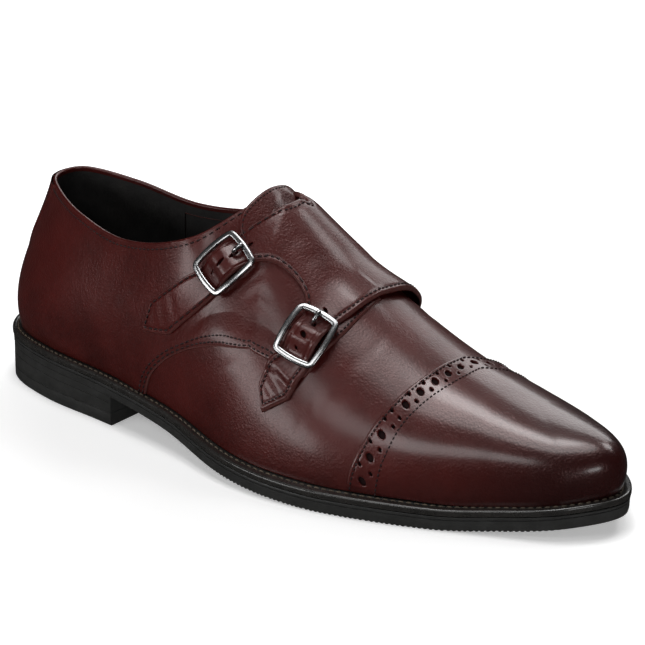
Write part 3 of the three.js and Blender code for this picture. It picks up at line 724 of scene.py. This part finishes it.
def hump(k, g):
    """How far the strap rises over the centre bars."""
    rise = 0 * k
    places = skin(k, g)
    for seat in SEATS.values():
        step = places - seat.origin
        a = np.abs(step @ seat.up)
        near = np.linalg.norm(step, axis=-1) < HUMP_WITHIN
        rise = rise + near * HUMP_HIGH * (1 - smooth((a - HUMP_FLAT) / (HUMP_REACH - HUMP_FLAT)))
    return rise


def sweep(path, half_wide, half_high, sides=14, closed=True, power=0.7):
    """A rounded band along a path in (a, b, c), as wide across the path as half_wide says."""
    path = np.asarray(path, float)
    if closed:
        along = unit(np.roll(path, -1, 0) - np.roll(path, 1, 0))
    else:
        along = unit(np.gradient(path, axis=0))
    side = unit(np.cross(along, [0.0, 0, 1]))
    top = np.cross(side, along)
    angle = np.linspace(0, 2 * math.pi, sides, endpoint=False)
    c, s = np.cos(angle), np.sin(angle)
    c, s = np.sign(c) * np.abs(c) ** power, np.sign(s) * np.abs(s) ** power
    half_wide = np.broadcast_to(half_wide, len(path))[:, None, None]
    half_high = np.broadcast_to(half_high, len(path))[:, None, None]
    ring = (path[:, None] + half_wide * c[None, :, None] * side[:, None]
            + half_high * s[None, :, None] * top[:, None])
    n = len(path)
    faces = [tuple(f) for f in grid_faces(n, sides, wrap=True, loop=closed)]
    if not closed:
        faces += [tuple(range(sides)), tuple(range(n * sides - 1, (n - 1) * sides - 1, -1))]
    return ring.reshape(-1, 3), faces


def frame_path():
    """The buckle's outline: four sides that bow out a little, with round corners."""
    a, b, r = (size - FRAME_INSET for size in (FRAME_LONG / 2, FRAME_WIDE / 2, FRAME_CORNER))
    corners = [(1, 1), (-1, 1), (-1, -1), (1, -1)]
    points = []
    for i, (ca, cb) in enumerate(corners):
        for turn in np.linspace(0, 90, 9):
            angle = math.radians(90 * i + turn)
            points.append((ca * (a - r) + r * math.cos(angle), cb * (b - r) + r * math.sin(angle)))
        na, nb = corners[(i + 1) % 4]
        angle = math.radians(90 * (i + 1))
        away = np.array([math.cos(angle), math.sin(angle)])
        end, nxt = np.array(points[-1]), np.array([na * (a - r), nb * (b - r)]) + r * away
        for f in np.linspace(0, 1, 12)[1:-1]:
            points.append(tuple(end + (nxt - end) * f + away * (2 * f * (1 - f))))
    return np.column_stack([points, np.full(len(points), FRAME_HIGH)])


def buckles():
    for name, seat in SEATS.items():
        points, faces = sweep(frame_path(), 1.28, 0.85, 16, True, 0.5)
        half = FRAME_WIDE / 2 - 1.22  # where the bar meets the frame
        # The centre bar dips under the strap.
        bar_b = np.linspace(-half - 0.2, half + 0.2, 25)
        drop = FRAME_HIGH - 0.3 - 2.3 * smooth((half + 0.2 - np.abs(bar_b)) / 2.2)
        bar, bar_faces = sweep(np.column_stack([0 * bar_b, bar_b, drop]), 0.8, 0.75, 10, False, 1)
        n = len(points)
        faces += [tuple(i + n for i in f) for f in bar_faces]
        solid(f"buckle_frame_{name}_fine", seat.place(np.vstack([points, bar])), faces, NICKEL,
              60, replaces=[f"buckle_frame_{name}"])
        # The prong comes up through the strap and lies on the far side of the frame.
        run = np.array([(4.3, 0, 1.6), (4.9, 0, 2.6), (5.5, 0, 4.0), (6.3, 0, 5.2), (7.4, 0, 5.75),
                        (8.8, 0, 5.95), (10, 0, 6.05), (11.2, 0, 6.0)])
        fine = dense3(run, 28)
        thick = np.interp(np.linspace(0, 1, len(fine)), [0, 0.35, 0.75, 0.93, 1], [0.8, 0.85, 1.05, 1.0, 0.6])
        points, faces = sweep(fine, thick, thick * 0.9, 12, False, 1)
        solid(f"buckle_prong_{name}_fine", seat.place(points), faces, NICKEL, 60,
              replaces=[f"buckle_prong_{name}"])


def dense3(run, count):
    """A smooth curve of count points through a run in (a, b, c)."""
    p = np.vstack([2 * run[0] - run[1], run, 2 * run[-1] - run[-2]])
    s = np.linspace(0, len(run) - 1 - 1e-6, count)
    i = s.astype(int)
    return blend(*(p[i + j] for j in range(4)), s - i)


# Quarter
# The quarter's front edge: down beside the straps, back in an arc, then down to the sole.
QUARTER_EDGE = [(3.9, -4), (3.93, -13.4), (4.0, -27), (4.13, -41), (4.22, -52), (4.36, -59), (4.54, -61),
                (4.69, -62.6), (4.83, -65.2), (4.98, -67.6), (5.12, -67.2), (5.28, -63.7), (5.42, -59),
                (5.58, -53.8), (5.72, -49.8), (5.84, -47.7), (5.96, -47.1), (6.08, -48.2), (6.19, -50.6),
                (6.28, -53.6), (6.34, -57.5), (6.39, -64), (6.42, -72), (6.44, -78)]
QUARTER_BACK = [(6.9, -78), (6.86, -60), (6.7, -45), (6.45, -36), (6.05, -33), (5.75, -34),
                (5.4, -43), (5.05, -50), (4.75, -47), (4.56, -38), (4.44, -25), (4.35, -13), (4.3, -4)]
QUARTER_THICK = 1.0
_quarter_line = dense(flat(QUARTER_EDGE), 0.7)
_quarter_loop = np.vstack([_quarter_line, dense(flat(QUARTER_BACK), 2.0)])


def quarter_rise(k, g):
    """The quarter's thickness where a strap lies over it, eased at the edge."""
    at = to_plane(k, g)
    away = to_polyline(at, _quarter_line, False)
    over = inside(at, _quarter_loop)
    rise = QUARTER_THICK * np.where(over, 1 - smooth((away - 2.5) / 9), 1 - smooth(away / 4))
    return rise.reshape(np.shape(k))


def quarter():
    def sink(k, g):
        away = to_polyline(to_plane(k, g), _quarter_line, False)
        return crease(k, g, VAMP_CREASES) - (QUARTER_THICK + 0.12) * smooth((away - 2.5) / 9)

    return patch("outer_quarter_edge", _quarter_loop, QUARTER_THICK, lift=sink, spacing=1.8,
                 rim=_quarter_line, rings=(0.12, 0.35, 0.7, 1.1, 1.5, 2.1))


# Flap and straps
FLAP_THICK, FLAP_BASE = 2.0, 0.25
FLAP_REAR = [(5.37, -15.0), (5.27, -14.6), (5.18, -13.3), (5.07, -10.8), (5.0, -7.0), (4.95, -2.0),
             (4.93, 4)]


def flap_runs():
    r, f, h = REAR.on_skin, FRONT.on_skin, STRAP_HALF
    return [
        # front edge: over the ridge and down the front strap
        [(3.91, 8), (3.89, 0), (3.95, -10), (4.02, -19.5), (4.11, -28), f(6, -h), f(0, -h),
         f(-8, -h), (4.24, -52), (4.3, -59), (4.36, -67)],
        [(4.36, -67), (4.67, -82)],
        [(4.67, -82), (4.78, -74.5)],
        # front strap's rear edge, the round cut-out, and the rear strap's lower edge
        [(4.78, -74.5), (4.74, -67.3), (4.69, -60.5), f(-8, h), f(0, h), f(7, h), (4.5, -31.8),
         (4.54, -29.2), (4.67, -27.7), (4.84, -28.7), (4.92, -30.3), (5.02, -32.4), r(8, -h),
         r(0, -h), r(-8, -h), (5.62, -34.5), (5.76, -34.3), (5.91, -35.2), (6.07, -38.2)],
        [(6.07, -38.2), (6.45, -35.4)],
        [(6.45, -35.4), (6.39, -23.6)],
        # rear strap's upper edge, up to the front of the collar
        [(6.39, -23.6), (6.25, -20.6), (6.13, -18.3), (6.0, -16.2), (5.9, -15.6), r(-8, h),
         r(0, h), r(7, h)] + FLAP_REAR,
        # inner side, where the flap runs into the inner quarter
        [(4.93, 4), (4.98, 5.5), (5.12, 4), (5.6, 4), (6.2, 4.5), (7.2, 5)],
        [(7.2, 5), (7.25, 40), (7.2, 78)],
        [(7.2, 78), (6.8, 79.5), (6.43, 80)],
        [(6.43, 80), (6.4, 68), (6.34, 60), (6.2, 52), (5.95, 48), (5.6, 52), (5.2, 58),
         (4.75, 56.5), (4.4, 50), (4.17, 40), (4.02, 27), (3.94, 14), (3.91, 8)],
    ]


def flap_lift(k, g):
    """Over the buckle bars and the quarter, and down into the inner quarter behind the collar."""
    sunk = smooth((k - 5.3) / 1.5) * (g > 0) + smooth((9 - g) / 6) * smooth((k - 5.2) / 0.5) * (g > 0)
    # The front edge stands off the vamp across the ridge.
    free = smooth((g + 27) / 12) * smooth((50 - g) / 22) * (1 - smooth((k - 3.88) / 0.55))
    return (hump(k, g) + quarter_rise(k, g) + crease(k, g, STRAP_CREASES)
            + (1.5 + 1.3 * smooth((g + 5) / 22)) * free
            - (FLAP_THICK + FLAP_BASE + 0.15) * np.minimum(sunk, 1))


def flap():
    """Lays the flap with its straps, and gives its outline and holes."""
    loop = np.vstack([dense(flat(run), 0.8)[:-1] for run in flap_runs()])
    holes = []
    for seat in SEATS.values():
        for a, b, radius in ((5.3, 0, 1.1), (-0.3, 0.4, 1.1), (-5.6, 0.6, 0.55), (12.6, -0.4, 0.75)):
            k, g = seat.on_skin(a, b)
            holes.append((k * PITCH, g, radius))
    patch("strap_flap_leather", loop, FLAP_THICK, base=FLAP_BASE, holes=holes, lift=flap_lift,
          spacing=1.0, groove=(1.55, 0.3), replaces=["strap_flap"])
    return loop, holes


def painted_hole_shade(name, holes, height, lift=None):
    """Discs at the bottom of punched holes, coloured dark as painted shade over the leather seen through
    them.
    """
    points, faces, n = [], [], 12
    for x, y, radius in holes:
        ring = circle(x, y, radius + 0.25, n)
        k, g = np.append(ring[:, 0], x) / PITCH, np.append(ring[:, 1], y)
        start = len(points) * (n + 1)
        points.append(skin(k, g, height + (lift(k, g) if lift else 0)))
        faces += [(start + n, start + (i + 1) % n, start + i) for i in range(n)]
    return solid(name, np.vstack(points), faces, HOLE_PAINTED_SHADE, 180)


# Tongue
TONGUE_THICK, TONGUE_STANDS, TONGUE_HALF = 1.8, 10.2, 36.0


def tongue_edge(girth):
    """How far the tongue stands past the collar: its top edge runs back at the sides."""
    share = np.clip(np.abs(girth) / TONGUE_HALF, 0, 1)
    return (TONGUE_STANDS + 0.45 * np.abs(girth)) * np.sqrt(1 - share ** 7)


def tongue_point(section, girth, past, height):
    """On the skin up to the collar, and past it straight on up the instep."""
    rising = unit(ridge(4.95) - ridge(4.8))
    lift = 0.9 * smooth(past / 8)
    return skin(np.minimum(section, 4.95), girth, height + lift) + past[..., None] * rising


def tongue():
    n, m = 76, 70
    share = np.sin(np.linspace(-math.pi / 2, math.pi / 2, m))[None, :] + np.zeros((n, 1))
    f = np.linspace(0, 1, n)[:, None]
    below = np.interp(f, [0, 0.6, 1], [3.75, 4.95, 4.95])
    half = np.interp(f, [0, 0.15, 0.45, 0.6, 1], [18, 23, 26, TONGUE_HALF, TONGUE_HALF])
    girth = half * share
    past = np.sin(np.clip((f - 0.6) / 0.4, 0, 1) * math.pi / 2) * tongue_edge(girth)
    # The edge is rounded: the thickness closes towards the sides and the top.
    from_side = half * (1 - np.abs(share))
    from_top = tongue_edge(girth) - past + 40 * (f < 0.6)
    near = np.clip(np.minimum(from_side, from_top) / 0.9, 0, 1)
    full = np.sqrt(1 - (1 - near) ** 2)
    level = -WALL - GAP - TONGUE_THICK / 2
    sheets = [tongue_point(below + 0 * girth, girth, past, level + sign * full * TONGUE_THICK / 2)
              for sign in (1, -1)]
    points = np.concatenate([sheet.reshape(-1, 3) for sheet in sheets])
    one = grid_faces(n, m)
    faces = np.vstack([one[:, ::-1], one + n * m])
    return solid("tongue_leather", points, faces, LEATHER, 180, replaces=["tongue"])


# Backstay
def backstay():
    """A narrow strip up the back seam, from the welt to the top of the collar."""
    n, m = 90, 41
    across = np.linspace(-1, 1, m)
    t = np.linspace(0.0, 1.0, n)
    rise = 1 - (1 - np.clip((1 - np.abs(across)) * 9, 0, 1)) ** 2
    half = 0.15 + 0.6 * smooth((t - 0.35) / 0.65)  # in sections: wider at the top
    u = HEEL + half[:, None] * across[None]
    height = 0.9 * np.sqrt(rise)[None] - 0.1 + 0 * u
    points = shell(u, t[:, None] + 0 * u, height)
    return solid("backstay_strip", points.reshape(-1, 3), grid_faces(n, m), LEATHER,
                 180)


# Toe cap
CAP_REAR = [(3.47, -78), (3.45, -70), (3.39, -60), (3.31, -48.5), (3.18, -35.3), (3.03, -22.2),
            (2.9, -11), (2.78, 0), (2.73, 9), (2.76, 20), (2.84, 34), (2.97, 50), (3.1, 64), (3.2, 78)]
CAP_FRONT = [(3.15, -78), (3.14, -70), (3.12, -61.5), (3.08, -53.6), (3.02, -43.6), (2.93, -35),
             (2.79, -24.4), (2.61, -12.5), (2.45, 0), (2.4, 9), (2.42, 20), (2.5, 34), (2.62, 50),
             (2.76, 64), (2.86, 78)]
CAP_JOIN = 2.1
CAP_THICK = 1.2


def cap_holes():
    """Big holes along the middle of the band, with small ones in pairs between them."""
    rear = dense(flat(CAP_REAR), 0.5)
    front = dense(flat(CAP_FRONT), 0.5)

    def across(girth, share):
        x = [np.interp(girth, line[:, 1], line[:, 0]) for line in (rear, front)]
        return x[0] + (x[1] - x[0]) * share

    big = [-71.2, -61.2, -50.8, -35.2, -27.2, -19.6, -12.8, -6.1, 1.5, 9, 16.8, 25, 33, 41, 49, 57, 65]
    made = [(across(g, 0.5), g, 1.52) for g in big]
    for a, b in zip(big[:-1], big[1:]):
        middles = [a + (b - a) * f for f in ((0.36, 0.64) if b - a > 12 else (0.5,))]
        for g in middles:
            for share in (0.25, 0.72):
                made.append((across(g, share), g + (0.5 - share) * 1.2, 0.72))
    return made


def toe_cap():
    """Lays the cap in two parts that meet at CAP_JOIN, and gives its holes."""
    rows, columns = 70, 150
    rear = dense(flat(CAP_REAR), 0.8)
    # The band behind the join, as a patch with holes
    join_u = np.array([CAP_JOIN, SIZE - CAP_JOIN])
    total = np.interp(join_u, _us, GIRTH)
    share = np.linspace(1, 0, rows)
    outer = np.stack([np.full(rows, CAP_JOIN * PITCH), -total[0] * share], 1)
    inner = np.stack([np.full(rows, CAP_JOIN * PITCH), total[1] * share[::-1]], 1)
    low_outer = girth_at(3.3, -1) - 0.3
    low_inner = girth_at(3.0, 1) - 0.3
    rear = rear[(rear[:, 1] > -low_outer) & (rear[:, 1] < low_inner)]
    rear = np.vstack([[rear[0, 0], -low_outer - 0.1], rear, [rear[-1, 0], low_inner + 0.1]])
    foot_outer = np.linspace(outer[0], rear[0], 40)[1:-1]
    foot_inner = np.linspace(rear[-1], inner[-1], 40)[1:-1]
    loop = np.vstack([outer[:-1], inner, foot_inner[::-1], rear[::-1], foot_outer[::-1]])
    holes = cap_holes()
    band = patch("cap_band", loop, CAP_THICK, POLISHED, holes=holes, rim=rear, groove=(1.3, 0.2))
    # The toe in front of the join, as rows round the toe
    u = np.concatenate([np.linspace(CAP_JOIN, 0, columns // 2, endpoint=False),
                        np.linspace(SIZE, SIZE - CAP_JOIN, columns // 2 + 1)])
    side = np.where(u <= HEEL, -1, 1)
    girth = side[None] * np.maximum(np.interp(u, _us, GIRTH)[None] * share[:, None], 1e-6)
    points = skin(section_of(u)[None] + 0 * girth, girth, CAP_THICK).reshape(-1, 3)
    faces = grid_faces(rows, len(u))[:, ::-1]
    toe = solid("cap_toe", points, faces, POLISHED, 180)
    join(toe, band, "toe_cap_leather", ["toe_cap"])
    return holes


def join(a, b, name, replaces):
    """Merges the piece b into a, where their edges meet."""
    made = bmesh.new()
    for piece in (a, b):
        made.from_mesh(piece.data)
    bmesh.ops.remove_doubles(made, verts=made.verts, dist=2e-5)
    made.to_mesh(a.data)
    made.free()
    bpy.data.objects.remove(b)
    a.data.polygons.foreach_set("use_smooth", np.ones(len(a.data.polygons), bool))
    a.data.set_sharp_from_angle(angle=math.radians(60))
    a.name = name
    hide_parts(*replaces)


# Stitches
def stitches(name, lines, height, pitch=2.2, length=1.6, radius=0.3, at=None, lift=None,
             material=THREAD):
    """Thread laid along lines in the plane: each stitch is a short rod that dips at its ends."""
    shape = np.array([(-0.5, -0.25, 0.55), (-0.32, 0.08, 0.95), (0, 0.16, 1.0), (0.32, 0.08, 0.95),
                      (0.5, -0.25, 0.55)])
    all_points, all_faces, count, sides = [], [], 0, 6
    angle = np.linspace(0, 2 * math.pi, sides, endpoint=False)
    for line in lines:
        run = np.concatenate([[0], np.cumsum(np.linalg.norm(np.diff(line, axis=0), axis=1))])
        n = max(int(run[-1] / pitch), 1)
        s = (np.arange(n) + 0.5) * run[-1] / n
        x = np.stack([[np.interp(s + f * length, run, line[:, c]) for c in (0, 1)]
                      for f in shape[:, 0]], 0)  # 5, 2, n
        if at:
            centre, normal = at(x[:, 0], x[:, 1])
        else:
            k, g = x[:, 0] / PITCH, x[:, 1]
            centre = skin(k, g, height + (lift(k, g) if lift else 0))
            normal = wall_normal(*skin_uv(k, g))
        centre = centre + normal * shape[:, 1][:, None, None] * radius / 0.3
        along = unit(centre[-1] - centre[0])[None]
        side = unit(np.cross(along, normal))
        top = np.cross(side, np.broadcast_to(along, side.shape))
        rings = (centre[:, :, None] + radius * shape[:, 2][:, None, None, None] * (
            np.cos(angle)[None, None, :, None] * side[:, :, None]
            + np.sin(angle)[None, None, :, None] * top[:, :, None]))  # 5, n, sides, 3
        points = rings.transpose(1, 0, 2, 3).reshape(-1, 3)
        one = grid_faces(len(shape), sides, wrap=True)
        block = (np.arange(n) * len(shape) * sides)[:, None, None]
        all_points.append(points)
        all_faces.append((one[None] + block).reshape(-1, 4) + count)
        count += len(points)
    return solid(name, np.vstack(all_points), np.vstack(all_faces), material, 180)


# Sole
def ring_points(u, inset, z):
    """A ring inside the sole's edge, at a height z or a function of x."""
    point, _ = edge(u, np.broadcast_to(inset, u.shape))
    point[:, 2] = z(point[:, 0]) if callable(z) else z
    return point


def layer(name, rings, material, replaces, first=None, count=700):
    """Stacked rings (inset, z) round the sole's edge, closed across. first are the two loop places
    where a heel layer starts; a whole layer has none."""
    sides = [np.linspace(u, HEEL, count) for u in first or (0, SIZE)]
    points = [ring_points(u, inset(u) if callable(inset) else inset, z)
              for inset, z in rings for u in sides]
    base = lambda ring, side: (ring * 2 + side) * count
    i = np.arange(count - 1)
    faces, top = [], len(rings) - 1
    for r in range(top):
        a, b = base(r, 0), base(r + 1, 0)
        faces.append(np.stack([a + i + 1, a + i, b + i, b + i + 1], 1))
        a, b = base(r, 1), base(r + 1, 1)
        faces.append(np.stack([a + i, a + i + 1, b + i + 1, b + i], 1))
        if first is not None:
            faces.append(np.array([[base(r, 0), base(r, 1), base(r + 1, 1), base(r + 1, 0)]]))
    faces.append(np.stack([base(0, 0) + i, base(0, 0) + i + 1, base(0, 1) + i + 1, base(0, 1) + i], 1))
    faces.append(np.stack([base(top, 0) + i, base(top, 1) + i, base(top, 1) + i + 1,
                           base(top, 0) + i + 1], 1))
    return solid(name, np.vstack(points), np.vstack(faces), material, 40, replaces=replaces)


def breast(side, inset):
    """The loop place on one side where the edge crosses the heel's front, found by halving."""
    low, high = 5.0, 10.0
    for _ in range(40):
        middle = (low + high) / 2
        u = middle if side < 0 else SIZE - middle
        if edge(u, inset)[0][0] > HEEL_LENGTH:
            low = middle
        else:
            high = middle
    return low if side < 0 else SIZE - low


def outsole_top(x):
    return welt_top(x) - WELT_THICK - GAP


def above(surface, height):
    return lambda x: surface(x) + height


TREAD_PITCH, TREAD_TOOTH, TREAD_DEEP = 2.0, 0.9, 0.4


def sole():
    teeth = lambda x: sole_bottom(x) + TREAD_DEEP * smooth((x - 140) / 20) * smooth(
        (292 - x) / 20) * (np.mod(x, TREAD_PITCH) < TREAD_TOOTH)
    layer("outsole_rubber", [
        (3.2, sole_bottom), (3.0, sole_bottom), (1.0, teeth), (0.75, teeth),
        (0.55, above(sole_bottom, 0.9)), (0.45, above(outsole_top, -1.5)),
        (0.75, above(outsole_top, -1.3)), (0.75, above(outsole_top, -1.1)),
        (0.35, above(outsole_top, -0.9)), (0.3, above(outsole_top, -0.3)), (0.5, outsole_top),
    ], SOLE, ["outsole"], count=900)
    low = above(welt_top, -WELT_THICK)
    # The strip's rounded edge, then the channel that its stitches lie in
    edge_rings = [(0.6, low), (0.25, above(low, 0.15)), (0.05, above(low, 0.5)),
                  (0.0, above(welt_top, -1.2)), (0.1, above(welt_top, -0.6)),
                  (0.4, above(welt_top, -0.15)), (0.9, above(welt_top, 0.05)), (1.5, welt_top)]
    channel = [(above(ledge_at, inset), above(welt_top, z)) for inset, z in (
        (-2.2, -0.05), (-1.9, -0.35), (-1.1, -0.4), (-0.8, -0.1), (1, -0.05))]
    layer("welt_strip", edge_rings + channel, WELT, ["welt"])
    first = (breast(-1, 0.8), breast(1, 0.8))
    block_top = above(sole_bottom, -0.1)
    seam = lambda x: 0.62 * block_top(x)  # between the two lifts of the stack
    layer("heel_stack", [
        (0.85, TOP_LIFT_THICK + 0.12), (0.7, TOP_LIFT_THICK + 0.3), (0.7, above(seam, 1.9)),
        (0.85, above(seam, 2.0)), (0.85, above(seam, 2.12)), (0.7, above(seam, 2.25)),
        (0.7, above(block_top, -0.2)), (0.9, block_top),
    ], SOLE, ["heel_block"], first, count=260)
    layer("heel_lift", [
        (1.5, 0.0), (1.0, 0.15), (0.75, 0.6), (0.7, TOP_LIFT_THICK - 0.25), (0.85, TOP_LIFT_THICK),
    ], SOLE, ["heel_top_lift"], first, count=260)
    inner = above(ledge_at, WALL + 0.6)
    layer("insole_sock", [
        (inner, above(welt_top, 0.4)), (inner, above(welt_top, 2.9)),
        (above(inner, 0.5), above(welt_top, 3.2)),
    ], LINING, ["insole"], count=300)


# Build
def stretches(line, keep):
    """The unbroken parts of a line where keep holds."""
    jump = np.linalg.norm(np.diff(line, axis=0), axis=1) > 3
    cuts = [0, *(np.flatnonzero(jump | (keep[1:] != keep[:-1])) + 1), len(line)]
    return [line[a:b] for a, b in zip(cuts[:-1], cuts[1:]) if keep[a] and b - a > 3]


def near_runs(line, runs, within):
    """The stretches of a line that stay close to some runs."""
    away = [to_polyline(line, dense(flat(run), 1.0), False) for run in runs]
    return stretches(line, np.min(away, axis=0) < within)


def clear_of_buckles(line):
    """The stretches of a line outside the buckle frames."""
    where = skin(line[:, 0] / PITCH, line[:, 1])
    keep = np.ones(len(line), bool)
    for seat in SEATS.values():
        step = where - seat.origin
        keep &= ((np.abs(step @ seat.up) > FRAME_LONG / 2 - 0.5)
                 | (np.linalg.norm(step, axis=1) > FRAME_LONG))
    return stretches(line, keep)


def beside(run, distance):
    """A line at one side of a smooth run: positive distances are to its left."""
    line = dense(flat(run), 0.6)
    step = unit(np.gradient(line, axis=0))
    moved = line + np.stack([-step[:, 1], step[:, 0]], 1) * distance
    away = to_polyline(moved, line, False)
    return moved[away > 0.95 * abs(distance)]


def sew(flap_loop):
    runs = flap_runs()
    line = offset(flap_loop, 1.55)
    line = np.vstack([line, line[:1]])
    lines = near_runs(line, runs[:7] + [runs[10]], 2.4)
    stitches("flap_stitches", [part for one in lines for part in clear_of_buckles(one)],
             FLAP_BASE + FLAP_THICK - 0.2, pitch=2.3, length=1.7, radius=0.34, lift=flap_lift)
    arc = [p for p in QUARTER_EDGE if p[1] > -77]
    stitches("quarter_stitches", [beside(arc, d) for d in (1.15, 3.0)], 0.04, radius=0.33,
             lift=quarter_rise)
    stitches("cap_rear_stitches", [beside(CAP_REAR, 1.3)], CAP_THICK - 0.05, pitch=2.0, length=1.45)
    stitches("cap_front_stitches", [dense(flat(CAP_FRONT), 0.6)], CAP_THICK + 0.02, pitch=2.0,
             length=1.45)
    k = np.linspace(COLLAR + 0.45, HEEL - 0.32, 500)
    stitches("collar_stitches", [np.stack([k * PITCH, side * 1.9 + 0 * k], 1) for side in (-1, 1)],
             0.02)
    g = np.linspace(-33, 5, 160)
    stitches("tongue_stitches", [np.stack([g, tongue_edge(g) - 1.7], 1)], 0, radius=0.25,
             at=lambda g, a: (tongue_point(4.95 + 0 * g, g, a, -WALL - GAP + 0.02),
                              wall_normal(*skin_uv(4.95, g))))
    around = np.linspace(0.0, SIZE, 4001)
    stitches("welt_stitches", [edge(around, ledge_at(around) - 1.5)[0][:, :2]], 0, pitch=3.1,
             length=2.3, radius=0.36, material=WELT_THREAD,
             at=lambda x, y: (np.stack([x, y, welt_top(x) - 0.3], -1),
                              np.broadcast_to([0.0, 0, 1], x.shape + (3,))))


upper()
lining()
quarter()
tongue()
backstay()
outline, strap_holes = flap()
# Dark discs paint the shade at the bottom of the punched holes.
painted_hole_shade("cap_hole_floors", toe_cap(), 0.12)
painted_hole_shade("strap_hole_floors", strap_holes, FLAP_BASE + 0.3, flap_lift)
buckles()
sole()
sew(outline)

# Studio
CAMERA_AZIMUTH, CAMERA_ELEVATION, CAMERA_ROLL = 35.3, 20.56, 1.2
CAMERA_DISTANCE, CAMERA_SCALE = 993.0, 2.459  # mm from the aim point, pixels per mm there
AIM = np.array([150.0, 0, 40])
AIM_SHIFT = (9.64, 10.58)  # mm across and up
FRAME_PIXELS, SENSOR = 645, 36.0
FLOOR_HALF = 6.0  # m
LAMP_BOXES = [
    # name, place, aim, power, width, height
    ("key_box", (0.0, 0.02, 1.1), (0, 0, 0.05), 1.2, 0.24, 0.22),
    ("front_box", (0.0, -0.95, 0.8), (0, 0, 0.04), 1.6, 0.5, 0.24),
    ("low_box", (-0.5, -1.0, 0.36), (0, 0, 0.04), 2.7, 0.6, 0.24),
    ("toe_box", (1.05, -0.72, 0.36), (0.1, 0, 0.03), 1.2, 0.3, 0.2),
    ("flap_box", (0.4, 0.56, 0.95), (0.03, 0, 0.08), 2.0, 0.34, 0.3),
    ("back_box", (-0.32, 1.0, 0.85), (0.05, 0, 0.05), 6.0, 1.0, 0.8),
]


def studio():
    a, e, r = (math.radians(v) for v in (CAMERA_AZIMUTH, CAMERA_ELEVATION, CAMERA_ROLL))
    back = np.array([math.sin(a) * math.cos(e), -math.cos(a) * math.cos(e), math.sin(e)])
    right = np.array([math.cos(a), math.sin(a), 0])
    up = np.cross(back, right)
    right, up = (math.cos(r) * right + math.sin(r) * up, math.cos(r) * up - math.sin(r) * right)
    where = AIM + CAMERA_DISTANCE * back + AIM_SHIFT[0] * right + AIM_SHIFT[1] * up
    data = bpy.data.cameras.new("camera")
    data.sensor_width = SENSOR
    data.lens = SENSOR * CAMERA_SCALE * CAMERA_DISTANCE / FRAME_PIXELS
    data.clip_start, data.clip_end = 0.05, 20
    camera = bpy.data.objects.new("camera", data)
    turn = Matrix((right, up, back)).transposed().to_4x4()
    camera.matrix_world = Matrix.Translation(place(where)[0].tolist()) @ turn
    bpy.context.scene.collection.objects.link(camera)
    bpy.context.scene.camera = camera

    world = bpy.data.worlds.new("studio")
    world.use_nodes = True
    put(world.node_tree.nodes["Background"], {"Color": (1, 1, 1, 1), "Strength": 0.02})
    bpy.context.scene.world = world

    def lamp(kind, name, at, aim, power, **settings):
        light = bpy.data.lights.new(name, kind)
        light.energy = power
        for key, value in settings.items():
            setattr(light, key, value)
        made = bpy.data.objects.new(name, light)
        made.location = at
        made.rotation_mode = "QUATERNION"
        made.rotation_quaternion = (Vector(aim) - Vector(at)).to_track_quat("-Z", "Y")
        bpy.context.scene.collection.objects.link(made)

    lamp("SUN", "ceiling", (-0.05, -0.08, 1.0), (0, 0, 0), 1.0, angle=math.radians(34))
    for name, at, aim, power, width, height in LAMP_BOXES:
        lamp("AREA", name, at, aim, power, shape="RECTANGLE", size=width, size_y=height)

    mesh = bpy.data.meshes.new("floor")
    s = FLOOR_HALF
    mesh.from_pydata([(-s, -s, 0), (s, -s, 0), (s, s, 0), (-s, s, 0)], [], [(0, 1, 2, 3)])
    floor = bpy.data.objects.new("floor", mesh)
    paper = plain("white_paper", (0.93, 0.93, 0.93), (0.95, 0.95, 0.95), (0.85, 0.95), 3,
                  [(60, 0.02, 0.0005)], specular=0.1)
    # It glows less near the shoe, so that the shoe's own shadow shows.
    tree = paper.node_tree
    lit = tree.nodes["Principled BSDF"]
    put(lit, {"Emission Color": (1, 1, 1, 1)})
    away = tree.nodes.new("ShaderNodeVectorMath")
    away.operation = "LENGTH"
    tree.links.new(object_place(tree), away.inputs[0])
    glow = map_range(tree, away.outputs["Value"], 0.1, 0.45, 0.32, 0.9)
    tree.links.new(glow, lit.inputs["Emission Strength"])
    mesh.materials.append(paper)
    bpy.context.scene.collection.objects.link(floor)
    floor.visible_glossy = False  # the studio is dark round the table
    bpy.context.scene.view_settings.view_transform = "Standard"


studio()
